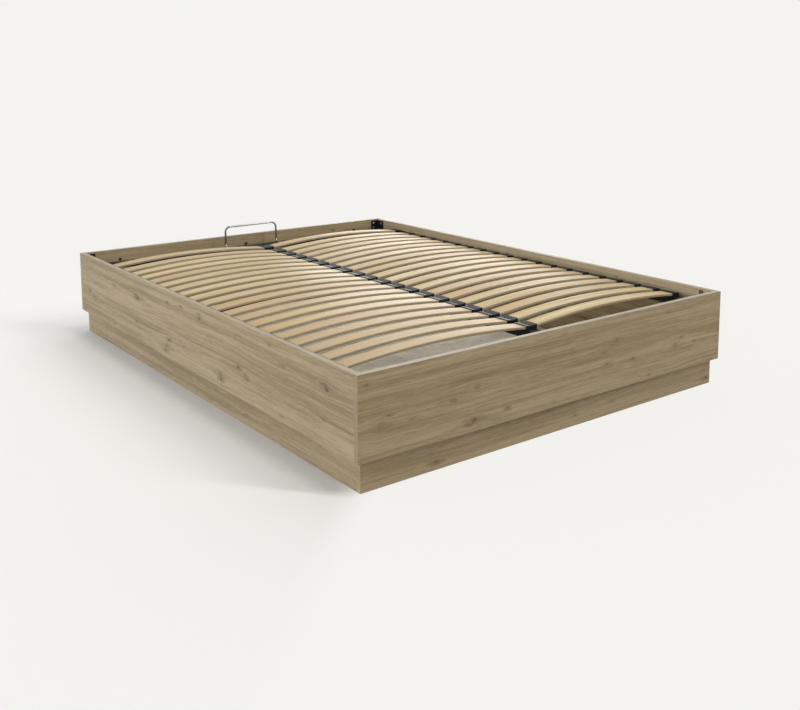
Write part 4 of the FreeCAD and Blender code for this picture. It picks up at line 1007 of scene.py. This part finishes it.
def slat_tree():
    tree, given = new_tree("slat_rows", (
        ("Inner End", "Vector"), ("Crown", "Vector"), ("Outer End", "Vector"), ("Width", "Float"),
        ("Thickness", "Float"), ("Edge Radius", "Float"), ("Seed", "Int"), ("Wood", "Material"),
    ))
    ends = {"Start": given["Inner End"], "Middle": given["Crown"], "End": given["Outer End"]}
    bow = add_node(tree, "GeometryNodeCurveArc", {"Resolution": BOW_STEPS, **ends}, mode="POINTS")
    upright = add_node(tree, "GeometryNodeSetCurveNormal", {"Curve": bow.outputs["Curve"]}, mode="Z_UP")
    length = add_node(tree, "GeometryNodeSplineParameter").outputs["Length"]
    bow = stored(tree, upright, "slat_along", length)
    size = {"Width": given["Width"], "Height": given["Thickness"]}
    flat = add_node(tree, "GeometryNodeCurvePrimitiveQuadrilateral", size)
    corner = {"Curve": flat, "Radius": given["Edge Radius"], "Count": EDGE_STEPS}
    section = add_node(tree, "GeometryNodeFilletCurve", corner, mode="POLY")
    place = parts_of(tree, add_node(tree, "GeometryNodeInputPosition"))
    section = stored(tree, section, "slat_across", place["X"])
    section = stored(tree, section, "slat_depth", place["Y"])
    swept = {"Curve": bow, "Profile Curve": section, "Fill Caps": True}
    slat = add_node(tree, "GeometryNodeCurveToMesh", swept)
    rows = {"Points": given["Geometry"], "Instance": slat}
    laid = add_node(tree, "GeometryNodeInstanceOnPoints", rows)
    shade = {"Min": 0.0, "Max": 1.0, "Seed": given["Seed"]}
    lot = add_node(tree, "FunctionNodeRandomValue", shade, data_type="FLOAT")
    laid = stored(tree, laid, "slat_tone", lot, domain="INSTANCE")
    close_tree(tree, laid, given["Wood"])
    return tree


slat_nodes = slat_tree()
print("slat tree has", len(slat_nodes.nodes), "nodes")

# %% Birch material
SLAT_WIDTH = 50 * MM
SLAT_THICKNESS = 8 * MM
SLAT_EDGE = 1.5 * MM
SLAT_LAYER = 1.14 * MM
TONE_APART = 37.0
BIRCH_PALE = paint(196, 176, 125)
BIRCH_WARM = paint(181, 149, 95)
BIRCH_PINK = paint(179, 152, 111)
BIRCH_LINE = paint(146, 116, 76)
GLUE_LINE = paint(166, 148, 118)
# Painted light: the long edges of each slat are painted paler and greyer than its faces, so that they look
# as lit as the tops.
PAINTED_LIT_EDGE = paint(190, 178, 152)
SLAT_FIGURE = (2.2, 42.0, 1.0)
SLAT_LINES = (5.0, 420.0, 1.0)
SLAT_PORES = (70.0, 1500.0, 1.0)
TONE_SPAN = (0.1, 0.9)
FIGURE_SPAN = (0.36, 0.62)
LINE_FADE = (0.48, 0.3, 0.0, 0.6)
PORE_FADE = (0.34, 0.24, 0.0, 0.35)
GLUE_FADE = (0.09, 0.03)
EDGE_SHARE = 0.9
BIRCH_ROUGH = (0.46, 0.38)
BIRCH_RELIEF = 0.06 * MM


def attribute(tree, name):
    return add_node(tree, "ShaderNodeAttribute", attribute_name=name).outputs["Fac"]


def birch_finish():
    material, tree = new_material("birch_slat")
    tone = attribute(tree, "slat_tone")
    depth = attribute(tree, "slat_depth")
    apart = maths(tree, "MULTIPLY", tone, TONE_APART)
    inputs = {"X": attribute(tree, "slat_along"), "Y": attribute(tree, "slat_across"), "Z": apart}
    place = add_node(tree, "ShaderNodeCombineXYZ", inputs)
    wide = noise(tree, place, SLAT_FIGURE, detail=4.0, roughness=0.6, warp=0.4)
    lines = noise(tree, place, SLAT_LINES, roughness=0.6)
    pores = noise(tree, place, SLAT_PORES, detail=1.0)
    colour = mixed(tree, ranged(tree, tone, *TONE_SPAN), BIRCH_PALE, BIRCH_PINK)
    colour = mixed(tree, ranged(tree, wide, *FIGURE_SPAN), BIRCH_WARM, colour)
    colour = mixed(tree, ranged(tree, lines, *LINE_FADE), colour, BIRCH_LINE)
    colour = mixed(tree, ranged(tree, pores, *PORE_FADE), colour, BIRCH_LINE)
    layer = maths(tree, "PINGPONG", maths(tree, "MULTIPLY", depth, 1 / SLAT_LAYER), 0.5)
    aside = maths(tree, "ABSOLUTE", attribute(tree, "slat_across"))
    edge = ranged(tree, aside, SLAT_WIDTH / 2 - SLAT_EDGE / 2, SLAT_WIDTH / 2 - SLAT_EDGE / 4)
    # The edges take the paler painted colour, which stands in for light.
    colour = mixed(tree, maths(tree, "MULTIPLY", edge, EDGE_SHARE), colour, PAINTED_LIT_EDGE)
    glue = maths(tree, "MULTIPLY", ranged(tree, layer, *GLUE_FADE), edge)
    colour = mixed(tree, glue, colour, GLUE_LINE)
    rough = ranged(tree, wide, *NOISE_SPAN, *BIRCH_ROUGH)
    surface(tree, colour, rough, lines, BIRCH_RELIEF, Specular_IOR_Level=0.54)
    return material


birch = birch_finish()
print("birch ready")

# %% Lay the slats


def dots_at(name, places):
    """A mesh of loose points."""
    mesh = bpy.data.meshes.new(name)
    mesh.from_pydata(places, [], [])
    return mesh


def lay_slats(side, seed):
    node = f"{side}_slats"
    boxes = boxes_of(node)
    low, high = boxes[0]
    ends = sorted((low.x, high.x), key=abs)
    crown_z = high.z - SLAT_THICKNESS / 2
    end_z = low.z + SLAT_THICKNESS / 2
    rows = [(0, (row_low.y + row_high.y) / 2, 0) for row_low, row_high in boxes]
    blank = piece_from(f"dressed_{node}", dots_at(node, rows))
    run_tree(
        blank, slat_nodes, inner_end=(ends[0], 0.0, end_z), crown=(sum(ends) / 2, 0.0, crown_z),
        outer_end=(ends[1], 0.0, end_z), width=SLAT_WIDTH, thickness=SLAT_THICKNESS, edge_radius=SLAT_EDGE,
        seed=seed, wood=birch,
    )
    smooth(blank.data)
    settle(blank, "slat_frame", None, node)


for slat_side, slat_seed in (("left", 3), ("right", 8)):
    lay_slats(slat_side, slat_seed)

# %% [markdown]
# ## Slat caps
# Each slat end sits in a moulded black cap. The model already has the cap's true mouth and slope, so
# the caps of one row are taken from it and their edges are eased. Geometry Nodes then set them on a
# point for each row. The same tree will set out the screws, because each point also says which way the
# pattern's axis turns.

# %% Set a pattern on places


def place_tree():
    tree, given = new_tree("set_on_places", (("Pattern", "Object"), ("Finish", "Material")))
    pattern = add_node(tree, "GeometryNodeObjectInfo", {"Object": given["Pattern"]})
    way = add_node(tree, "GeometryNodeInputNamedAttribute", {"Name": "way"}, data_type="FLOAT_VECTOR")
    turn = add_node(tree, "FunctionNodeAlignRotationToVector", {"Vector": way}, axis="Z")
    inputs = {"Points": given["Geometry"], "Instance": pattern.outputs["Geometry"], "Rotation": turn}
    laid = add_node(tree, "GeometryNodeInstanceOnPoints", inputs)
    close_tree(tree, laid, given["Finish"])
    return tree


place_nodes = place_tree()
print("place tree has", len(place_nodes.nodes), "nodes")


def set_out(node, pattern_mesh, spots, finish, body):
    """Set a pattern on each spot; a spot is a place and the way that the pattern's axis points."""
    dots = dots_at(node, [place for place, way in spots])
    ways = dots.attributes.new("way", "FLOAT_VECTOR", "POINT")
    ways.data.foreach_set("vector", [part for place, way in spots for part in way])
    pattern = piece_from("pattern", pattern_mesh)
    laid = piece_from(f"dressed_{node}", dots)
    run_tree(laid, place_nodes, pattern=pattern, finish=finish)
    bpy.data.objects.remove(pattern)
    settle(laid, body, None, node)


# %% Caps in rows
CAP_EASE = 0.7 * MM
UPWARD = Vector((0, 0, 1))


def lay_caps(node, columns):
    """Repeat the caps of the first row; a row has one cap in each column."""
    solids = solids_of(node)
    rows = [corners_of(solid)[0].y for solid in solids[::columns]]
    first = bmesh.new()
    for solid in solids[:columns]:
        first.from_mesh(eased("cap", solid, CAP_EASE))
    bmesh.ops.translate(first, verts=first.verts, vec=(0, -rows[0], 0))
    spots = [(Vector((0, row, 0)), UPWARD) for row in rows]
    set_out(node, mesh_from(first, node), spots, black_plastic, "slat_frame")


lay_caps("side_slat_caps", 2)
lay_caps("spine_slat_caps", 1)

# %% [markdown]
# ## The mattress retainer
# A bent rod stands up at the head and keeps the mattress from sliding down when the bed is open. Its
# path is a few points; a Fillet Curve node rounds the corners, and a circle is swept along it.

# %% Retainer rod
ROD_RADIUS = 4 * MM
ROD_SIDES = 20
BEND_STEPS = 10
TOP_BEND = 22 * MM
FOOT_BEND = 16 * MM


def rod_tree():
    tree, given = new_tree("bent_rod", (("Radius", "Float"), ("Finish", "Material")))
    path = add_node(tree, "GeometryNodeMeshToCurve", {"Mesh": given["Geometry"]})
    bend = add_node(tree, "GeometryNodeInputNamedAttribute", {"Name": "bend"}, data_type="FLOAT")
    corner = {"Curve": path, "Radius": bend, "Count": BEND_STEPS, "Limit Radius": True}
    smooth = add_node(tree, "GeometryNodeFilletCurve", corner, mode="POLY")
    ring = {"Resolution": ROD_SIDES, "Radius": given["Radius"]}
    circle = add_node(tree, "GeometryNodeCurvePrimitiveCircle", ring, mode="RADIUS")
    swept = {"Curve": smooth, "Profile Curve": circle.outputs["Curve"], "Fill Caps": True}
    close_tree(tree, add_node(tree, "GeometryNodeCurveToMesh", swept), given["Finish"])
    return tree


rod_low, rod_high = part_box("mattress_retainer")
leg_x = rod_high.x - ROD_RADIUS
leg_y = rod_high.y - ROD_RADIUS
run_z = rod_low.z + ROD_RADIUS
top_z = rod_high.z - ROD_RADIUS
rod_points = [
    (-leg_x, rod_low.y, run_z), (-leg_x, leg_y, run_z), (-leg_x, leg_y, top_z),
    (leg_x, leg_y, top_z), (leg_x, leg_y, run_z), (leg_x, rod_low.y, run_z),
]
rod_mesh = bpy.data.meshes.new("retainer")
rod_mesh.from_pydata(rod_points, [(point, point + 1) for point in range(len(rod_points) - 1)], [])
bends = rod_mesh.attributes.new("bend", "FLOAT", "POINT")
bends.data.foreach_set("value", (0, FOOT_BEND, TOP_BEND, TOP_BEND, FOOT_BEND, 0))
retainer = piece_from("dressed_mattress_retainer", rod_mesh)
run_tree(retainer, rod_tree(), radius=ROD_RADIUS, finish=chrome)
smooth(retainer.data)
settle(retainer, "slat_frame", None, "mattress_retainer")

# %% [markdown]
# ## Plates, brackets and small hardware
# Brackets, hinge plates and rests are pressed from flat steel. They could be drawn again from their
# outlines, but the model already has every hole and bend. A merged copy of it keeps them, and a fine
# bevel eases the edges so that they catch the light.

# %% Plates and brackets
STEEL_EASE = 0.5 * MM
plate_work = (
    ("head_corner_brackets", "base", "black_steel", black_steel),
    ("hinge_plates", "base", "black_steel", black_steel),
    ("frame_rests", "base", "black_steel", black_steel),
    ("rest_pads", "base", "rubber", rubber),
    ("pivot_lock_nuts", "base", "zinc", zinc),
    ("strut_tabs", "slat_frame", "black_steel", black_steel),
    ("rail_end_plugs", "slat_frame", "black_plastic", black_plastic),
    ("retainer_clamps", "slat_frame", "black_steel", black_steel),
)
for node, body, slot, finish in plate_work:
    settle(piece_from(f"dressed_{node}", softened(node, STEEL_EASE)), body, finish, node)

# %% [markdown]
# ## Turned hardware
# Screws, cover caps, bushes, pins and studs are round. Each kind is drawn once as a profile in
# millimetres, from its outer end in the wall towards the middle of the bed, and set on the places that
# the model gives. A cross recess is cut into the one screw that serves as the pattern, so every copy
# has it.

# %% Profiles of the round parts
# Each point is the distance along the axis and the radius, in millimetres.
SCREW = (
    (0, 0), (1, 1.4), (2.5, 2), (14, 2), (14, 4), (14.9, 4), (15.7, 3.6), (16.3, 2.7), (16.6, 1.6),
    (16.6, 0),
)
CAM_CAP = ((0, 0), (0, 8.5), (0.8, 8.5), (1.3, 8.2), (1.6, 7.5), (1.6, 6.6), (1.35, 6.2), (1.3, 0))
BUSH = (
    (0, 3.2), (0, 4.5), (18, 4.5), (18, 6), (19.3, 6), (19.8, 5.7), (20, 5.2), (20, 3.9), (19.4, 3.2),
    (0, 3.2),
)
PIN = ((0, 0), (0, 5), (45.3, 5), (46.3, 4), (46.3, 0))
SPACER = ((0, 5.05), (0, 11.5), (0.5, 12), (7.1, 12), (7.6, 11.5), (7.6, 5.05), (0, 5.05))
SLEEVE = ((0.2, 5.2), (0.2, 7), (29.8, 7), (29.8, 5.2), (0.2, 5.2))
STUD = (
    (0, 0), (0, 7), (18.9, 7), (19.7, 6.2), (19.7, 4), (32.3, 4), (32.3, 6.5), (34.5, 6.5), (35.3, 5.6),
    (35.3, 0),
)
print("a screw is", SCREW[-1][0], "mm long and a pin", PIN[-1][0], "mm")

# %% Turned patterns and their places
RECESS_LONG = 4.2 * MM
RECESS_WIDE = 0.8 * MM
RECESS_FROM = 15.2 * MM
HARDWARE_SIDES = 24


def add_profile(solid, profile, foot, way):
    """Add a turned shape whose profile is in millimetres."""
    add_turned(solid, [(along * MM, radius * MM) for along, radius in profile], foot, way, HARDWARE_SIDES)


def turned(name, profile):
    """One turned shape that stands on the origin."""
    solid = bmesh.new()
    add_profile(solid, profile, Vector(), UPWARD)
    merge(solid)
    return mesh_from(solid, name)


def wall_spots(node, axis=None):
    """Where each solid of a node starts in its wall, and the way from there to the middle of the bed."""
    spots = []
    for low, high in boxes_of(node):
        reach = high - low
        along = max(range(3), key=lambda part: reach[part]) if axis is None else axis
        place = (low + high) / 2
        side = math.copysign(1, place[along])
        place[along] = side * max(abs(low[along]), abs(high[along]))
        way = Vector()
        way[along] = -side
        spots.append((place, way))
    return spots


def cross_screw():
    """The screw pattern, with its cross recess."""
    screw = piece_from("screw", turned("screw", SCREW))
    high = (SCREW[-1][0] + 1) * MM
    cross = bmesh.new()
    for wide, deep in ((RECESS_LONG, RECESS_WIDE), (RECESS_WIDE, RECESS_LONG)):
        add_box(cross, Vector((-wide / 2, -deep / 2, RECESS_FROM)), Vector((wide / 2, deep / 2, high)))
    cut_away(screw, mesh_from(cross, "recess"))
    mesh = screw.data
    bpy.data.objects.remove(screw)
    smooth(mesh)
    return mesh


screw_mesh = cross_screw()
print("one screw has", len(screw_mesh.polygons), "faces")

# %% Set out the round parts
for node in ("bracket_screws", "hinge_plate_screws", "rest_screws"):
    set_out(node, screw_mesh, wall_spots(node), zinc, "base")
ACROSS, LENGTHWISE = 0, 1
turned_work = (
    ("cam_cover_caps", CAM_CAP, ACROSS, brown_plastic, "base", "brown_plastic"),
    ("headboard_bushes", BUSH, LENGTHWISE, black_plastic, "base", "black_plastic"),
    ("pivot_pins", PIN, ACROSS, zinc, "base", "zinc"),
    ("pivot_spacers", SPACER, ACROSS, zinc, "base", "zinc"),
    ("strut_base_studs", STUD, ACROSS, zinc, "base", "zinc"),
    ("pivot_sleeves", SLEEVE, ACROSS, black_steel, "slat_frame", "black_steel"),
)
for node, profile, axis, finish, body, slot in turned_work:
    set_out(node, turned(node, profile), wall_spots(node, axis), finish, body)

# %% [markdown]
# ## Gas springs
# A gas spring is a closed tube with a rod that slides in it, and an eye at each end. Both are profiles
# carried round the line between the two studs. The rod's piston and the hollow of the tube are made
# too, so that the spring is still right when it opens.

# %% Gas springs
CYLINDER = (
    (9, 0), (9, 4.8), (14, 4.8), (14, 9.6), (15.4, 11), (201.5, 11), (203.4, 10.2), (204, 8.8), (204, 5.15),
    (194, 5.15), (194, 9.5), (17, 9.5), (17, 0),
)
ROD = ((20, 0), (20, 9.3), (30, 9.3), (30, 5), (242.6, 5), (242.6, 0))
LOWER_EYE = ((-6, 4.05), (-6, 9.4), (-5.4, 10), (5.4, 10), (6, 9.4), (6, 4.05), (-6, 4.05))
UPPER_EYE = ((-6, 0), (-6, 9.4), (-5.4, 10), (5.4, 10), (6, 9.4), (6, 0))
UPPER_STUD = ((0, 0), (0, 4), (9.6, 4), (9.6, 0))
EYE_RADIUS = 10 * MM


def dress_spring(side, turn):
    stud_low, stud_high = next(box for box in boxes_of("strut_base_studs") if box[0].x * turn > 0)
    tube_low, tube_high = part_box(f"{side}_gas_cylinder")
    rod_box_low, rod_box_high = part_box(f"{side}_gas_rod")
    lower = (stud_low + stud_high) / 2
    lower.x = (tube_low.x + tube_high.x) / 2
    upper = Vector((lower.x, rod_box_low.y + EYE_RADIUS, rod_box_high.z - EYE_RADIUS))
    line = upper - lower
    out = Vector((turn, 0, 0))
    tube = bmesh.new()
    add_profile(tube, CYLINDER, lower, line)
    add_profile(tube, LOWER_EYE, lower, out)
    rod = bmesh.new()
    add_profile(rod, ROD, lower, line)
    add_profile(rod, UPPER_EYE, upper, out)
    add_profile(rod, UPPER_STUD, upper, out)
    halves = (("cylinder", tube, "black_steel", black_steel), ("rod", rod, "chrome", chrome))
    for part, solid, slot, finish in halves:
        merge(solid)
        node = f"{side}_gas_{part}"
        settle(piece_from(f"dressed_{node}", mesh_from(solid, node)), f"{side}_{part}", finish, node)


for spring_side, spring_turn in (("left", -1), ("right", 1)):
    dress_spring(spring_side, spring_turn)

# %% [markdown]
# ## Pieces that stay
# The cam locks and their bolts sit inside the boards and under the cover caps, so the model's own mesh
# is enough for them and only needs its finish.

# %% Finishes for the nodes that stay
for node in ("cam_locks", "cam_bolts"):
    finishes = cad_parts[node].data.materials
    finishes.clear()
    finishes.append(zinc)
print("cam locks and bolts keep their own mesh")
